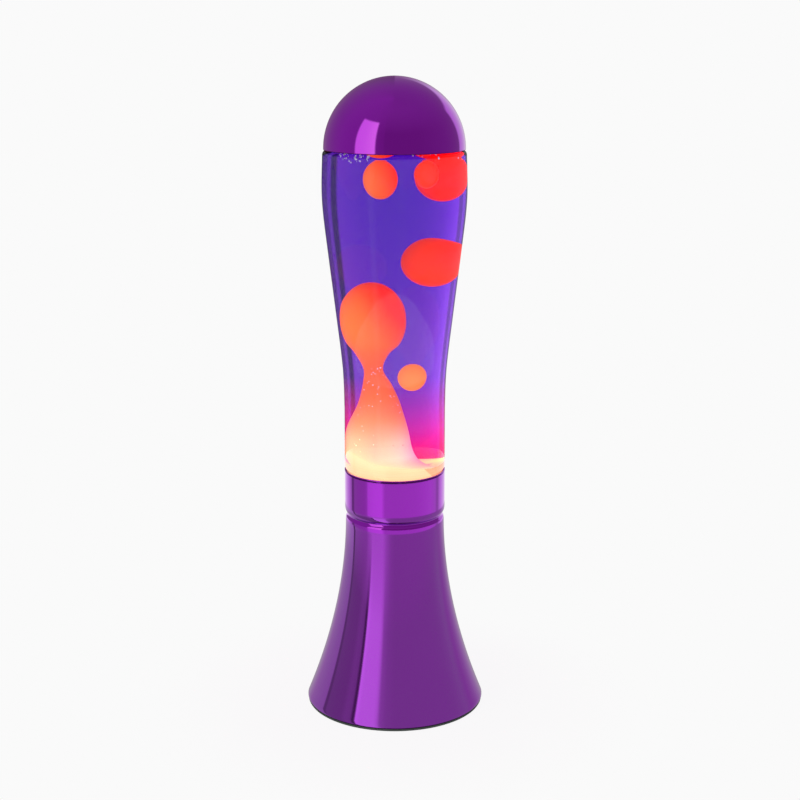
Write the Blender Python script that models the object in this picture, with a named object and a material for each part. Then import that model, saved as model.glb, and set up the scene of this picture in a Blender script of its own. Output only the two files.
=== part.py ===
"""A lava lamp in metres, +Z up, standing on z = 0 with its axis on the Z axis.

A spun trumpet-shaped base holds a reflector bulb under a glass bottle of wax and liquid.
The bottle lifts out of the base's collar, the domed cap lifts off the bottle, the bulb
screws out of its holder, and the free wax blobs rise and sink.
"""

import math

import bmesh
import bpy
from mathutils import Matrix, Vector

MM = 0.001

# Clearances
FIT = 0.3 * MM               # kept between two pieces that touch
SLIP = 0.4 * MM              # round a piece that slides into another
SCREW_ROOM = 0.3 * MM        # round a screw's shank in its hole

# Base: spun trumpet with a groove and a collar, standing on a rubber edge
BASE_RADIUS = 59.8 * MM
TRUMPET_HEIGHT = 129.0 * MM  # where the trumpet ends and the groove begins
TRUMPET_POWER = 1.9          # how quickly the trumpet closes in
SHELL_WALL = 1.2 * MM
NECK_STEP = 0.5 * MM         # the trumpet's top is this much inside the collar
GROOVE_DEPTH = 1.9 * MM      # below the collar's surface
GROOVE_DROP = 3.7 * MM       # from the trumpet's top up to the groove's floor
COLLAR_START = 10.5 * MM     # from the trumpet's top up to the straight collar
COLLAR_HEIGHT = 23.2 * MM
FLANGE_REACH = 11.0 * MM      # turned in under the rim
TRIM_HEIGHT = 1.6 * MM
TRIM_WIDTH = 3.4 * MM

# Bottom plate and its fasteners
PLATE_THICKNESS = 1.2 * MM
PLATE_MARGIN = 2.4 * MM      # between the plate's edge and the shell
PLATE_SCREWS = 3
VENT_COUNT = 8
VENT_RADIUS = 3.0 * MM
VENT_INSET = 18.8 * MM       # from the base's edge to the circle of vents
SCREW_RADIUS = 1.4 * MM
SCREW_HEAD_RADIUS = 2.5 * MM
SCREW_HEAD_HEIGHT = 1.1 * MM
NUT_RADIUS = 3.1 * MM
NUT_HEIGHT = 2.2 * MM

# Seat ring and bottle
SEAT_THICKNESS = 1.8 * MM
SEAT_WIDTH = 4.6 * MM
FOOT_RADIUS = 31.9 * MM      # of the bottle inside the collar
HEEL_RADIUS = 3.5 * MM
GLASS_WALL = 2.6 * MM
STEM_STEP = 1.4 * MM         # the straight glass above the collar is this much wider than the foot
BELLY_RADIUS = 46.9 * MM     # the widest glass
BELLY_HEIGHT = 213.0 * MM    # above the bottle's foot
STEM_HEIGHT = 68.0 * MM      # above the foot, where the glass starts to widen
SHOULDER_ABOVE_BELLY = 21.0 * MM
SHOULDER_RISE = 4.1 * MM
SHOULDER_INSET = 0.6 * MM    # the shoulder's start is this much inside the belly
SHOULDER_REACH = 6.0 * MM
NECK_RADIUS = 12.4 * MM
NECK_LENGTH = 32.9 * MM      # from the shoulder's crest to the lip
LIP_RADIUS = 13.3 * MM
LIP_HEIGHT = 4.0 * MM

# Crown cork
LINER_THICKNESS = 1.0 * MM
CROWN_WALL = 0.5 * MM
CROWN_SKIRT = 5.0 * MM

# Cap
CAP_INSET = 1.3 * MM         # the cap is this much inside the belly
CAP_RISE = 46.2 * MM
CAP_WALL = 1.0 * MM

# Bulb and holder
BULB_ROOM = 20.0 * MM        # from the bulb's top to the bottle, so that it can be unscrewed
BULB_LENGTH = 66.5 * MM
BULB_RADIUS = 19.5 * MM
BULB_NECK = 8.2 * MM
BULB_WALL = 0.8 * MM
BULB_CAP_RADIUS = 6.9 * MM
BULB_CAP_WALL = 0.5 * MM
BULB_CAP_LENGTH = 17.0 * MM
BUTTON_HEIGHT = 1.4 * MM
INSULATOR_HEIGHT = 2.2 * MM
BULB_TAIL_LENGTH = 6.0 * MM  # of glass inside the cap
FILAMENT_RADIUS = 0.22 * MM
SOCKET_WALL = 0.5 * MM
SOCKET_LENGTH = 18.5 * MM
HOLDER_RADIUS = 13.0 * MM
HOLDER_WALL = 2.0 * MM
INSERT_HEIGHT = 8.0 * MM
HOLDER_CAP_HEIGHT = 15.5 * MM
HOLDER_FLOOR = 2.4 * MM
HOLDER_SKIRT_LENGTH = 25.0 * MM
NIPPLE_RADIUS = 4.9 * MM
NIPPLE_WALL = 1.3 * MM
NIPPLE_NUT_RADIUS = 8.0 * MM
BRACKET_WIDTH = 16.0 * MM
BRACKET_SHEET = 1.2 * MM
BRACKET_SPAN = 24.0 * MM     # from the axis to each leg
BRACKET_FOOT = 11.0 * MM

# Wiring
BLOCK_SIZE = Vector((26.0, 9.0, 11.0)) * MM
BLOCK_Y = 31.0 * MM
WELL_DEPTH = 5.0 * MM        # of each terminal's screw well
BLOCK_SCREW_DEPTH = 4.0 * MM
LEAD_RADIUS = 1.1 * MM
LEAD_SPACING = 3.2 * MM      # of each lead from the middle where it enters the holder
EARTH_POST = Vector((24.0, 17.0)) * MM
GROMMET_HEIGHT = 13.0 * MM
GROMMET_BORE = 3.1 * MM
GROMMET_WALL = 1.2 * MM
GROMMET_FLANGE = 6.2 * MM
GROMMET_LIP = 1.2 * MM

# Wax, coil and liquid
POOL_DEPTH = 28.8 * MM       # of the molten wax at the bottom
POOL_CREST = 1.0 * MM        # from the pool's edge up to the foot of the column
FILL_ABOVE_SHOULDER = 4.2 * MM  # from the shoulder's start up to the liquid's surface
COIL_INSET = 7.9 * MM        # from the foot's edge to the middle of the coil
COIL_TURN_RADIUS = 3.0 * MM
COIL_WIRE = 0.55 * MM
COIL_TURNS = 12
VENT_TUBE = 0.7 * MM         # fine channel from a blob's pocket to the liquid's side
SLEEVE_DROP = 2.0 * MM       # how far the cutters round the column and coil reach below

# The wax column: share of the liquid's height, then offset to the left and radius as shares of the bore
COLUMN = (
    (0.000, 0.2606, 0.7101),
    (0.020, 0.2801, 0.6352),
    (0.056, 0.2769, 0.5603),
    (0.109, 0.2671, 0.4919),
    (0.172, 0.2573, 0.3876),
    (0.213, 0.2486, 0.3099),
    (0.264, 0.2744, 0.2233),
    (0.313, 0.3300, 0.1509),
    (0.363, 0.3425, 0.2546),
    (0.395, 0.3260, 0.3912),
    (0.436, 0.3142, 0.4583),
    (0.480, 0.3051, 0.4590),
    (0.524, 0.2961, 0.4075),
    (0.563, 0.2885, 0.2912),
    (0.585, 0.2843, 0.1617),
)
COLUMN_TOP = 0.5939
# Free blobs: share of the liquid's height, place across and radius as shares of the bore, and half height
# as a share of the liquid's height
BLOBS = (
    ("wax_blob_1", 0.908, (-0.1586, -0.0907), 0.1949, 0.0581),
    ("wax_blob_2", 0.910, (0.5124, 0.1360), 0.3038, 0.0717),
    ("wax_blob_3", 0.930, (0.4092, -0.5342), 0.1659, 0.0416),
    ("wax_blob_4", 0.655, (0.4616, 0.1497), 0.3743, 0.0785),
    ("wax_blob_5", 0.295, (0.3104, -0.4435), 0.2597, 0.0441),
)

WELD = 0.001 * MM            # points this close are one
SHARP_EDGE = 35              # degrees
ROUND = 32                   # facets round the large turned pieces
SMALL = 18                   # and round the small ones
TINY = 10

# Sizes that follow from the ones above
STEM_RADIUS = FOOT_RADIUS + STEM_STEP
COIL_RADIUS = FOOT_RADIUS - COIL_INSET
CAP_RADIUS = BELLY_RADIUS - CAP_INSET
SHOULDER_HEIGHT = BELLY_HEIGHT + SHOULDER_ABOVE_BELLY
NECK_TOP = SHOULDER_HEIGHT + SHOULDER_RISE + NECK_LENGTH
FLANGE_BOTTOM = TRIM_HEIGHT + FIT
FLANGE_TOP = FLANGE_BOTTOM + SHELL_WALL
PLATE_BOTTOM = FLANGE_TOP + FIT
PLATE_TOP = PLATE_BOTTOM + PLATE_THICKNESS
COLLAR_RADIUS = FOOT_RADIUS + SLIP + SHELL_WALL
TRUMPET_TOP_RADIUS = COLLAR_RADIUS - NECK_STEP
GROOVE_Z = TRUMPET_HEIGHT + GROOVE_DROP
COLLAR_Z = TRUMPET_HEIGHT + COLLAR_START
COLLAR_TOP = COLLAR_Z + COLLAR_HEIGHT
LEDGE_RADIUS = COLLAR_RADIUS - GROOVE_DEPTH - SHELL_WALL
SEAT_RADIUS = LEDGE_RADIUS + GROOVE_DEPTH / 3
SEAT_Z = GROOVE_Z + SHELL_WALL + GROOVE_DEPTH * 2 / 3
FOOT_Z = SEAT_Z + SEAT_THICKNESS + FIT
BULB_TOP = FOOT_Z - BULB_ROOM
BULB_TIP = BULB_TOP - BULB_LENGTH
CONTACT_THICKNESS = 0.8 * MM
INSERT_TOP = BULB_TIP - CONTACT_THICKNESS - 2 * FIT
INSERT_BOTTOM = INSERT_TOP - INSERT_HEIGHT
HOLDER_CAP_TOP = INSERT_TOP - HOLDER_WALL
HOLDER_BOTTOM = HOLDER_CAP_TOP - HOLDER_CAP_HEIGHT
BRACKET_TOP = HOLDER_BOTTOM - FIT
LIQUID_TOP = FOOT_Z + SHOULDER_HEIGHT + FILL_ABOVE_SHOULDER
POOL_BOTTOM = FOOT_Z + GLASS_WALL + FIT
POOL_TOP = POOL_BOTTOM + POOL_DEPTH
LIQUID_BOTTOM = POOL_TOP + FIT


# ---------------------------------------------------------------- materials

def finish(name, colour, roughness, metallic=0.0, transmission=0.0):
    """A Principled material with one colour."""
    material = bpy.data.materials.new(name)
    material.use_nodes = True
    shader = material.node_tree.nodes["Principled BSDF"]
    shader.inputs["Base Color"].default_value = (*colour, 1.0)
    shader.inputs["Roughness"].default_value = roughness
    shader.inputs["Metallic"].default_value = metallic
    shader.inputs["Transmission Weight"].default_value = transmission
    material.diffuse_color = (*colour, 1.0)
    return material


def make_finishes():
    return {
        "purple_metal": finish("purple_metal", (0.22, 0.035, 0.36), 0.22, 1.0),
        "black_rubber": finish("black_rubber", (0.02, 0.02, 0.022), 0.7),
        "black_steel": finish("black_steel", (0.03, 0.03, 0.035), 0.5, 0.3),
        "zinc_steel": finish("zinc_steel", (0.55, 0.56, 0.58), 0.35, 1.0),
        "brass": finish("brass", (0.76, 0.58, 0.27), 0.3, 1.0),
        "ceramic": finish("ceramic", (0.86, 0.85, 0.80), 0.4),
        "black_plastic": finish("black_plastic", (0.025, 0.025, 0.028), 0.45),
        "white_plastic": finish("white_plastic", (0.82, 0.82, 0.79), 0.5),
        "silicone": finish("silicone", (0.75, 0.74, 0.72), 0.6),
        "brown_lead": finish("brown_lead", (0.22, 0.08, 0.03), 0.5),
        "blue_lead": finish("blue_lead", (0.03, 0.12, 0.55), 0.5),
        "green_lead": finish("green_lead", (0.25, 0.55, 0.05), 0.5),
        "bulb_glass": finish("bulb_glass", (0.9, 0.9, 0.9), 0.2, 0.0, 0.8),
        "tungsten": finish("tungsten", (0.25, 0.24, 0.23), 0.4, 1.0),
        "black_glass": finish("black_glass", (0.01, 0.01, 0.012), 0.1),
        "clear_glass": finish("clear_glass", (0.95, 0.95, 0.97), 0.02, 0.0, 1.0),
        "violet_liquid": finish("violet_liquid", (0.15, 0.04, 0.6), 0.0, 0.0, 1.0),
        "red_wax": finish("red_wax", (0.9, 0.06, 0.03), 0.35),
        "plated_steel": finish("plated_steel", (0.7, 0.7, 0.68), 0.3, 1.0),
    }


# ---------------------------------------------------------------- outlines in (radius, z)

def arc(centre, radii, start, stop, steps):
    """Points on an ellipse from one angle to another, in degrees."""
    points = []
    for step in range(steps + 1):
        angle = math.radians(start + (stop - start) * step / steps)
        points.append((centre[0] + radii[0] * math.cos(angle), centre[1] + radii[1] * math.sin(angle)))
    return points


def smooth(points, per_span):
    """A Catmull-Rom curve through points of any dimension."""
    ends = [points[0], *points, points[-1]]
    curve = []
    for index in range(1, len(ends) - 2):
        before, start, stop, after = (Vector(ends[index + shift]) for shift in (-1, 0, 1, 2))
        for step in range(per_span):
            t = step / per_span
            curve.append(tuple(0.5 * (
                2 * start
                + (stop - before) * t
                + (2 * before - 5 * start + 4 * stop - after) * t * t
                + (3 * start - before - 3 * stop + after) * t ** 3
            )))
    curve.append(tuple(points[-1]))
    return curve


def offset_inward(outline, distance):
    """Move an outline that runs from top to bottom towards the inside of its wall."""
    moved = []
    last = len(outline) - 1
    for index, point in enumerate(outline):
        normals = []
        for first, second in ((index - 1, index), (index, index + 1)):
            if first < 0 or second > last:
                continue
            run = Vector(outline[second]) - Vector(outline[first])
            normals.append(Vector((run.y, -run.x)).normalized())
        normal = sum(normals, Vector((0.0, 0.0))).normalized()
        reach = distance / max(0.5, normal.dot(normals[0]))
        moved.append((max(0.0, point[0] + normal.x * reach), point[1] + normal.y * reach))
    return moved


def between(outline, low, high):
    """The stretch of an outline, running from top to bottom, between two heights."""
    points = []
    for (r0, z0), (r1, z1) in zip(outline, outline[1:]):
        for level in (high, low):
            if z1 < level <= z0:
                share = (z0 - level) / (z0 - z1)
                points.append((r0 + (r1 - r0) * share, level))
        if low < z1 < high:
            points.append((r1, z1))
    return points


def radius_at(outline, level):
    return between(outline, level - FIT, level)[0][0]


def trumpet_outline():
    """The outside of the base, from the collar's top to the rim."""
    points = [(COLLAR_RADIUS, COLLAR_TOP), (COLLAR_RADIUS, COLLAR_Z)]
    floor = COLLAR_RADIUS - GROOVE_DEPTH
    brow = COLLAR_RADIUS - GROOVE_DEPTH / 2.6
    points.append(((COLLAR_RADIUS + brow) / 2, (COLLAR_Z + GROOVE_Z) / 2 + GROOVE_DEPTH / 2))
    points.append((brow, GROOVE_Z + GROOVE_DEPTH))
    points += arc((brow, GROOVE_Z), (brow - floor, GROOVE_DEPTH * 0.75), 135, 225, 3)
    points.append((TRUMPET_TOP_RADIUS - GROOVE_DEPTH * 0.1, GROOVE_Z - GROOVE_DEPTH))
    spread = BASE_RADIUS - TRUMPET_TOP_RADIUS
    steps = 10
    for step in range(steps + 1):
        share = (step / steps) ** 1.15
        z = TRUMPET_HEIGHT + (FLANGE_TOP - TRUMPET_HEIGHT) * share
        widening = (1 - (z - FLANGE_TOP) / (TRUMPET_HEIGHT - FLANGE_TOP)) ** TRUMPET_POWER
        points.append((TRUMPET_TOP_RADIUS + spread * widening, z))
    return points


def bottle_outline():
    """The outside of the glass, from the lip to the middle of the foot."""
    neck = [
        (LIP_RADIUS, FOOT_Z + NECK_TOP),
        (LIP_RADIUS, FOOT_Z + NECK_TOP - LIP_HEIGHT),
        (NECK_RADIUS, FOOT_Z + NECK_TOP - LIP_HEIGHT - (LIP_RADIUS - NECK_RADIUS)),
    ]
    shoulder_radius = BELLY_RADIUS - SHOULDER_INSET
    crest = shoulder_radius - SHOULDER_REACH
    crest_z = FOOT_Z + SHOULDER_HEIGHT + SHOULDER_RISE
    rise = FOOT_Z + NECK_TOP - LIP_HEIGHT - crest_z
    slope = [
        (NECK_RADIUS, crest_z + rise * 0.6),
        (NECK_RADIUS * 1.2, crest_z + rise * 0.32),
        (crest * 0.7, crest_z + rise * 0.12),
    ]
    shoulder = arc((crest, FOOT_Z + SHOULDER_HEIGHT), (SHOULDER_REACH, SHOULDER_RISE), 90, 0, 5)
    widening = BELLY_RADIUS - STEM_RADIUS
    climb = BELLY_HEIGHT - STEM_HEIGHT
    body = smooth([
        shoulder[-1],
        (BELLY_RADIUS, FOOT_Z + BELLY_HEIGHT),
        (STEM_RADIUS + widening * 0.94, FOOT_Z + STEM_HEIGHT + climb * 0.885),
        (STEM_RADIUS + widening * 0.72, FOOT_Z + STEM_HEIGHT + climb * 0.705),
        (STEM_RADIUS + widening * 0.385, FOOT_Z + STEM_HEIGHT + climb * 0.445),
        (STEM_RADIUS + widening * 0.07, FOOT_Z + STEM_HEIGHT + climb * 0.185),
        (STEM_RADIUS, FOOT_Z + STEM_HEIGHT),
    ], 1)[1:]
    step_height = STEM_RADIUS - FOOT_RADIUS
    step = [
        (STEM_RADIUS, COLLAR_TOP + FIT + step_height * 1.6),
        (STEM_RADIUS - step_height * 0.35, COLLAR_TOP + FIT + step_height * 0.8),
        (FOOT_RADIUS, COLLAR_TOP + FIT),
    ]
    heel = arc((FOOT_RADIUS - HEEL_RADIUS, FOOT_Z + HEEL_RADIUS), (HEEL_RADIUS, HEEL_RADIUS), 0, -90, 3)
    return neck + slope + shoulder + body + step + heel + [(0.0, FOOT_Z)]


# ---------------------------------------------------------------- building blocks

def add(name, bm, material, origin=(0.0, 0.0, 0.0), parent=None):
    """Make an object of a mesh given in world places, with its origin where asked."""
    bmesh.ops.remove_doubles(bm, verts=bm.verts[:], dist=WELD)
    bmesh.ops.recalc_face_normals(bm, faces=bm.faces[:])
    bmesh.ops.translate(bm, verts=bm.verts[:], vec=-Vector(origin))
    mesh = bpy.data.meshes.new(name)
    bm.to_mesh(mesh)
    bm.free()
    mesh.shade_smooth()
    mesh.set_sharp_from_angle(angle=math.radians(SHARP_EDGE))
    piece = bpy.data.objects.new(name, mesh)
    if material is not None:
        mesh.materials.append(material)
    bpy.context.collection.objects.link(piece)
    place(piece, origin, parent)
    return piece


def place(piece, origin, parent):
    piece.location = Vector(origin)
    if parent is not None:
        piece.parent = parent
        piece.location = Vector(origin) - parent.location


def empty(name, location):
    """A guide on a joint's axis, which carries the pieces that move together."""
    guide = bpy.data.objects.new(name, None)
    guide.location = location
    bpy.context.collection.objects.link(guide)
    return guide


def turn_mesh(outline, steps, centre=(0.0, 0.0)):
    """Spin a closed outline, given anticlockwise or clockwise, about a vertical axis."""
    bm = bmesh.new()
    verts = [bm.verts.new((radius, 0.0, z)) for radius, z in outline]
    for first, second in zip(verts, verts[1:] + verts[:1]):
        if first.co.x > 0 or second.co.x > 0:
            bm.edges.new((first, second))
    bmesh.ops.spin(
        bm, geom=bm.verts[:] + bm.edges[:], cent=(0, 0, 0), axis=(0, 0, 1),
        angle=2 * math.pi, steps=steps, use_merge=True,
    )
    bmesh.ops.translate(bm, verts=bm.verts[:], vec=(*centre, 0.0))
    return bm


def turned(name, outline, material, steps=ROUND, centre=(0.0, 0.0), origin=None, parent=None):
    return add(name, turn_mesh(outline, steps, centre), material, origin or (*centre, 0.0), parent)


def ring_outline(inner, outer, bottom, top):
    return [(outer, top), (outer, bottom), (inner, bottom), (inner, top)]


def walled(outline, wall):
    """Give an open outline, running from top to bottom, a wall on its inner side."""
    return outline + offset_inward(outline, wall)[::-1]


def loft_mesh(stations, steps):
    """Skin round sections (x, y, z, radius) stacked from bottom to top, capped at both ends."""
    bm = bmesh.new()
    rings = []
    for x, y, z, radius in stations:
        rings.append([
            bm.verts.new((
                x + radius * math.cos(2 * math.pi * step / steps),
                y + radius * math.sin(2 * math.pi * step / steps),
                z,
            )) for step in range(steps)
        ])
    for lower, upper in zip(rings, rings[1:]):
        for step in range(steps):
            after = (step + 1) % steps
            bm.faces.new((lower[step], lower[after], upper[after], upper[step]))
    bm.faces.new(rings[0][::-1])
    bm.faces.new(rings[-1])
    return bm


def box_mesh(low, high):
    bm = bmesh.new()
    low, high = Vector(low), Vector(high)
    place_and_size = Matrix.Translation((low + high) / 2) @ Matrix.Diagonal((*(high - low), 1.0))
    bmesh.ops.create_cube(bm, size=1.0, matrix=place_and_size)
    return bm


def ball_mesh(centre, radius, half_height, around=14, rings=8):
    bm = bmesh.new()
    place_and_size = Matrix.Translation(centre) @ Matrix.Diagonal((radius, radius, half_height, 1.0))
    bmesh.ops.create_uvsphere(
        bm, u_segments=around, v_segments=rings, radius=1.0, matrix=place_and_size,
    )
    return bm


def rod_mesh(start, stop, radius, steps=TINY):
    """A round bar between two points."""
    bm = bmesh.new()
    start, stop = Vector(start), Vector(stop)
    turn = Vector((0, 0, 1)).rotation_difference(stop - start).to_matrix().to_4x4()
    bmesh.ops.create_cone(
        bm, cap_ends=True, segments=steps, radius1=radius, radius2=radius,
        depth=(stop - start).length, matrix=Matrix.Translation((start + stop) / 2) @ turn,
    )
    return bm


def cut(piece, cutter_mesh, name):
    """Take a shape out of a piece with a Boolean whose cutter stays as a guide."""
    cutter = add(f"cutter_{name}", cutter_mesh, None)
    cutter.hide_render = True
    cutter.display_type = "WIRE"
    modifier = piece.modifiers.new(name, "BOOLEAN")
    modifier.operation = "DIFFERENCE"
    modifier.solver = "EXACT"
    modifier.object = cutter


def wire(name, points, radius, material, closed=False, resolution=1, origin=(0.0, 0.0, 0.0), parent=None):
    """A round wire or lead along points given in world places."""
    curve = bpy.data.curves.new(name, "CURVE")
    curve.dimensions = "3D"
    curve.bevel_depth = radius
    curve.bevel_resolution = resolution
    curve.use_fill_caps = not closed
    spline = curve.splines.new("POLY")
    spline.points.add(len(points) - 1)
    for target, point in zip(spline.points, points):
        target.co = (*(Vector(point) - Vector(origin)), 1.0)
    spline.use_cyclic_u = closed
    curve.materials.append(material)
    piece = bpy.data.objects.new(name, curve)
    bpy.context.collection.objects.link(piece)
    place(piece, origin, parent)
    return piece


def screw(name, centre, head_bottom, head_top, tip, material, radius=SCREW_RADIUS, head=SCREW_HEAD_RADIUS):
    """A pan-head screw: a domed head on its outer side and a shank that ends at the tip."""
    if tip > head_top:
        crown, seat = head_bottom, head_top
    else:
        crown, seat = head_top, head_bottom
    rounding = (seat - crown) * 0.45
    outline = [(0.0, crown), (head * 0.7, crown), (head, crown + rounding), (head, seat)]
    outline += [(radius, seat), (radius, tip - (tip - seat) * 0.06), (radius * 0.6, tip), (0.0, tip)]
    return turned(name, outline, material, TINY, centre)


def nut(name, centre, bottom, material, radius=NUT_RADIUS, height=NUT_HEIGHT, bore=SCREW_RADIUS):
    """A hexagon nut with a round bore."""
    piece = add(
        name,
        rod_mesh((*centre, bottom), (*centre, bottom + height), radius, 6),
        material,
        (*centre, bottom),
    )
    below, above = (*centre, bottom - height), (*centre, bottom + 2 * height)
    cut(piece, rod_mesh(below, above, bore + SCREW_ROOM), f"{name}_bore")
    return piece


def polar(radius, degrees):
    return (radius * math.cos(math.radians(degrees)), radius * math.sin(math.radians(degrees)))


# ---------------------------------------------------------------- base

def make_base_shell(finishes):
    outside = trumpet_outline()
    lip = arc(
        (COLLAR_RADIUS - SHELL_WALL / 2, COLLAR_TOP), (SHELL_WALL / 2, SHELL_WALL / 2), 180, 0, 3,
    )[1:-1]
    inside = offset_inward(outside, SHELL_WALL)
    flange = [
        (BASE_RADIUS, FLANGE_BOTTOM + SHELL_WALL / 2),
        (BASE_RADIUS - SHELL_WALL / 2, FLANGE_BOTTOM),
        (BASE_RADIUS - FLANGE_REACH, FLANGE_BOTTOM),
        (BASE_RADIUS - FLANGE_REACH, FLANGE_TOP),
        (inside[-1][0] - SHELL_WALL, FLANGE_TOP),
    ]
    shell = turned("base_shell", lip + outside[:-1] + flange + inside[-2::-1], finishes["purple_metal"])
    for index, (x, y) in enumerate(plate_screw_places()):
        hole = rod_mesh((x, y, 0.0), (x, y, FLANGE_TOP + SHELL_WALL / 4), SCREW_RADIUS + SCREW_ROOM)
        cut(shell, hole, f"flange_hole_{index + 1}")
    point, outward = grommet_axis()
    hole_radius = GROMMET_BORE + GROMMET_WALL + FIT
    inlet = rod_mesh(point - outward * 4 * SHELL_WALL, point + outward * 4 * SHELL_WALL, hole_radius, SMALL)
    cut(shell, inlet, "inlet_hole")


def plate_screw_places():
    circle = BASE_RADIUS - FLANGE_REACH + SCREW_HEAD_RADIUS + FIT
    return [polar(circle, 30 + 360 * index / PLATE_SCREWS) for index in range(PLATE_SCREWS)]


def grommet_axis():
    """Where the cord's inlet goes through the back of the trumpet, and the wall's normal there."""
    outside = trumpet_outline()
    span = GROMMET_FLANGE * 0.6
    low = Vector((0.0, radius_at(outside, GROMMET_HEIGHT - span), GROMMET_HEIGHT - span))
    high = Vector((0.0, radius_at(outside, GROMMET_HEIGHT + span), GROMMET_HEIGHT + span))
    along = (high - low).normalized()
    middle = Vector((0.0, radius_at(outside, GROMMET_HEIGHT), GROMMET_HEIGHT))
    return middle, Vector((0.0, along.z, -along.y))


def make_grommet(finishes):
    """A bush with a lip on each side of the wall, turned along the wall's normal."""
    point, outward = grommet_axis()
    sag = GROMMET_FLANGE ** 2 / (2 * point.y)
    outer_seat = FIT
    inner_seat = -SHELL_WALL - 2 * FIT - 3 * sag
    body = GROMMET_BORE + GROMMET_WALL
    outline = [
        (GROMMET_BORE, outer_seat + GROMMET_LIP),
        (GROMMET_FLANGE - GROMMET_LIP * 0.6, outer_seat + GROMMET_LIP),
        (GROMMET_FLANGE, outer_seat + GROMMET_LIP * 0.4),
        (GROMMET_FLANGE, outer_seat + sag * 0.2),
        (body, outer_seat + sag * 0.2),
        (body, inner_seat),
        (GROMMET_FLANGE, inner_seat),
        (GROMMET_FLANGE, inner_seat - GROMMET_LIP),
        (GROMMET_BORE, inner_seat - GROMMET_LIP),
    ]
    bm = turn_mesh(outline, SMALL)
    turn = Vector((0, 0, 1)).rotation_difference(outward).to_matrix().to_4x4()
    bmesh.ops.transform(bm, matrix=Matrix.Translation(point) @ turn, verts=bm.verts[:])
    add("cord_grommet", bm, finishes["black_rubber"], point)


def make_base_trim(finishes):
    bottom_radius = BASE_RADIUS - TRIM_HEIGHT * 0.25
    outline = [
        (BASE_RADIUS, TRIM_HEIGHT),
        (BASE_RADIUS, TRIM_HEIGHT * 0.35),
        (bottom_radius, 0.0),
        (BASE_RADIUS - TRIM_WIDTH, 0.0),
        (BASE_RADIUS - TRIM_WIDTH, TRIM_HEIGHT),
    ]
    turned("base_edge_trim", outline, finishes["black_rubber"])


def plate_radius():
    inside = offset_inward(trumpet_outline(), SHELL_WALL)
    return radius_at(inside, PLATE_TOP) - PLATE_MARGIN


def bracket_foot_x():
    return BRACKET_SPAN + BRACKET_FOOT / 2


def make_bottom_plate(finishes):
    edge = plate_radius()
    outline = [(0.0, PLATE_TOP), (edge, PLATE_TOP), (edge, PLATE_BOTTOM), (0.0, PLATE_BOTTOM)]
    plate = turned("bottom_plate", outline, finishes["black_steel"])
    holes = [(place_xy, SCREW_RADIUS + SCREW_ROOM) for place_xy in plate_screw_places()]
    holes += [((side * bracket_foot_x(), 0.0), SCREW_RADIUS + SCREW_ROOM) for side in (-1, 1)]
    holes += [((0.0, BLOCK_Y), SCREW_RADIUS + SCREW_ROOM), (tuple(EARTH_POST), SCREW_RADIUS + SCREW_ROOM)]
    for index in range(VENT_COUNT):
        holes.append((polar(BASE_RADIUS - VENT_INSET, 360 * (index + 0.5) / VENT_COUNT), VENT_RADIUS))
    for index, ((x, y), radius) in enumerate(holes):
        below, above = (x, y, PLATE_BOTTOM - FIT), (x, y, PLATE_TOP + FIT)
        cut(plate, rod_mesh(below, above, radius), f"plate_hole_{index + 1}")
    for index, centre in enumerate(plate_screw_places()):
        head_top = FLANGE_BOTTOM - FIT
        tip = PLATE_TOP + FIT + NUT_HEIGHT + FIT
        screw(f"plate_screw_{index + 1}", centre, head_top - SCREW_HEAD_HEIGHT, head_top, tip,
              finishes["zinc_steel"])
        nut(f"plate_nut_{index + 1}", centre, PLATE_TOP + FIT, finishes["zinc_steel"])


# ---------------------------------------------------------------- bracket and holder

def make_bracket(finishes):
    """A strap bent into a bridge that stands on the plate and carries the holder."""
    foot_bottom = PLATE_TOP + FIT
    foot_end = BRACKET_SPAN + BRACKET_FOOT
    half = [
        (foot_end, foot_bottom),
        (foot_end, foot_bottom + BRACKET_SHEET),
        (BRACKET_SPAN + BRACKET_SHEET, foot_bottom + BRACKET_SHEET),
        (BRACKET_SPAN + BRACKET_SHEET, BRACKET_TOP - BRACKET_SHEET * 0.5),
        (BRACKET_SPAN + BRACKET_SHEET * 0.5, BRACKET_TOP),
    ]
    under = [
        (BRACKET_SPAN, BRACKET_TOP - BRACKET_SHEET),
        (BRACKET_SPAN, foot_bottom),
    ]
    outline = half + [(-x, z) for x, z in half[::-1]]
    outline += [(-x, z) for x, z in under[::-1]] + under
    bm = bmesh.new()
    verts = [bm.verts.new((x, -BRACKET_WIDTH / 2, z)) for x, z in outline]
    face = bm.faces.new(verts)
    swept = bmesh.ops.extrude_face_region(bm, geom=[face])["geom"]
    moved = [item for item in swept if isinstance(item, bmesh.types.BMVert)]
    bmesh.ops.translate(bm, verts=moved, vec=(0.0, BRACKET_WIDTH, 0.0))
    bracket = add("holder_bracket", bm, finishes["zinc_steel"])
    below, above = (0, 0, BRACKET_TOP - 2 * BRACKET_SHEET), (0, 0, BRACKET_TOP + BRACKET_SHEET)
    cut(bracket, rod_mesh(below, above, NIPPLE_RADIUS + SCREW_ROOM, SMALL), "nipple_hole")
    for index, side in enumerate((-1, 1)):
        x = side * bracket_foot_x()
        below, above = (x, 0, foot_bottom - FIT), (x, 0, foot_bottom + BRACKET_SHEET + FIT)
        cut(bracket, rod_mesh(below, above, SCREW_RADIUS + SCREW_ROOM), f"foot_hole_{index + 1}")
        head_top = PLATE_BOTTOM - FIT
        nut_bottom = foot_bottom + BRACKET_SHEET + FIT
        screw(f"bracket_screw_{index + 1}", (x, 0.0), head_top - SCREW_HEAD_HEIGHT, head_top,
              nut_bottom + NUT_HEIGHT + FIT, finishes["zinc_steel"])
        nut(f"bracket_nut_{index + 1}", (x, 0.0), nut_bottom, finishes["zinc_steel"])


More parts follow.
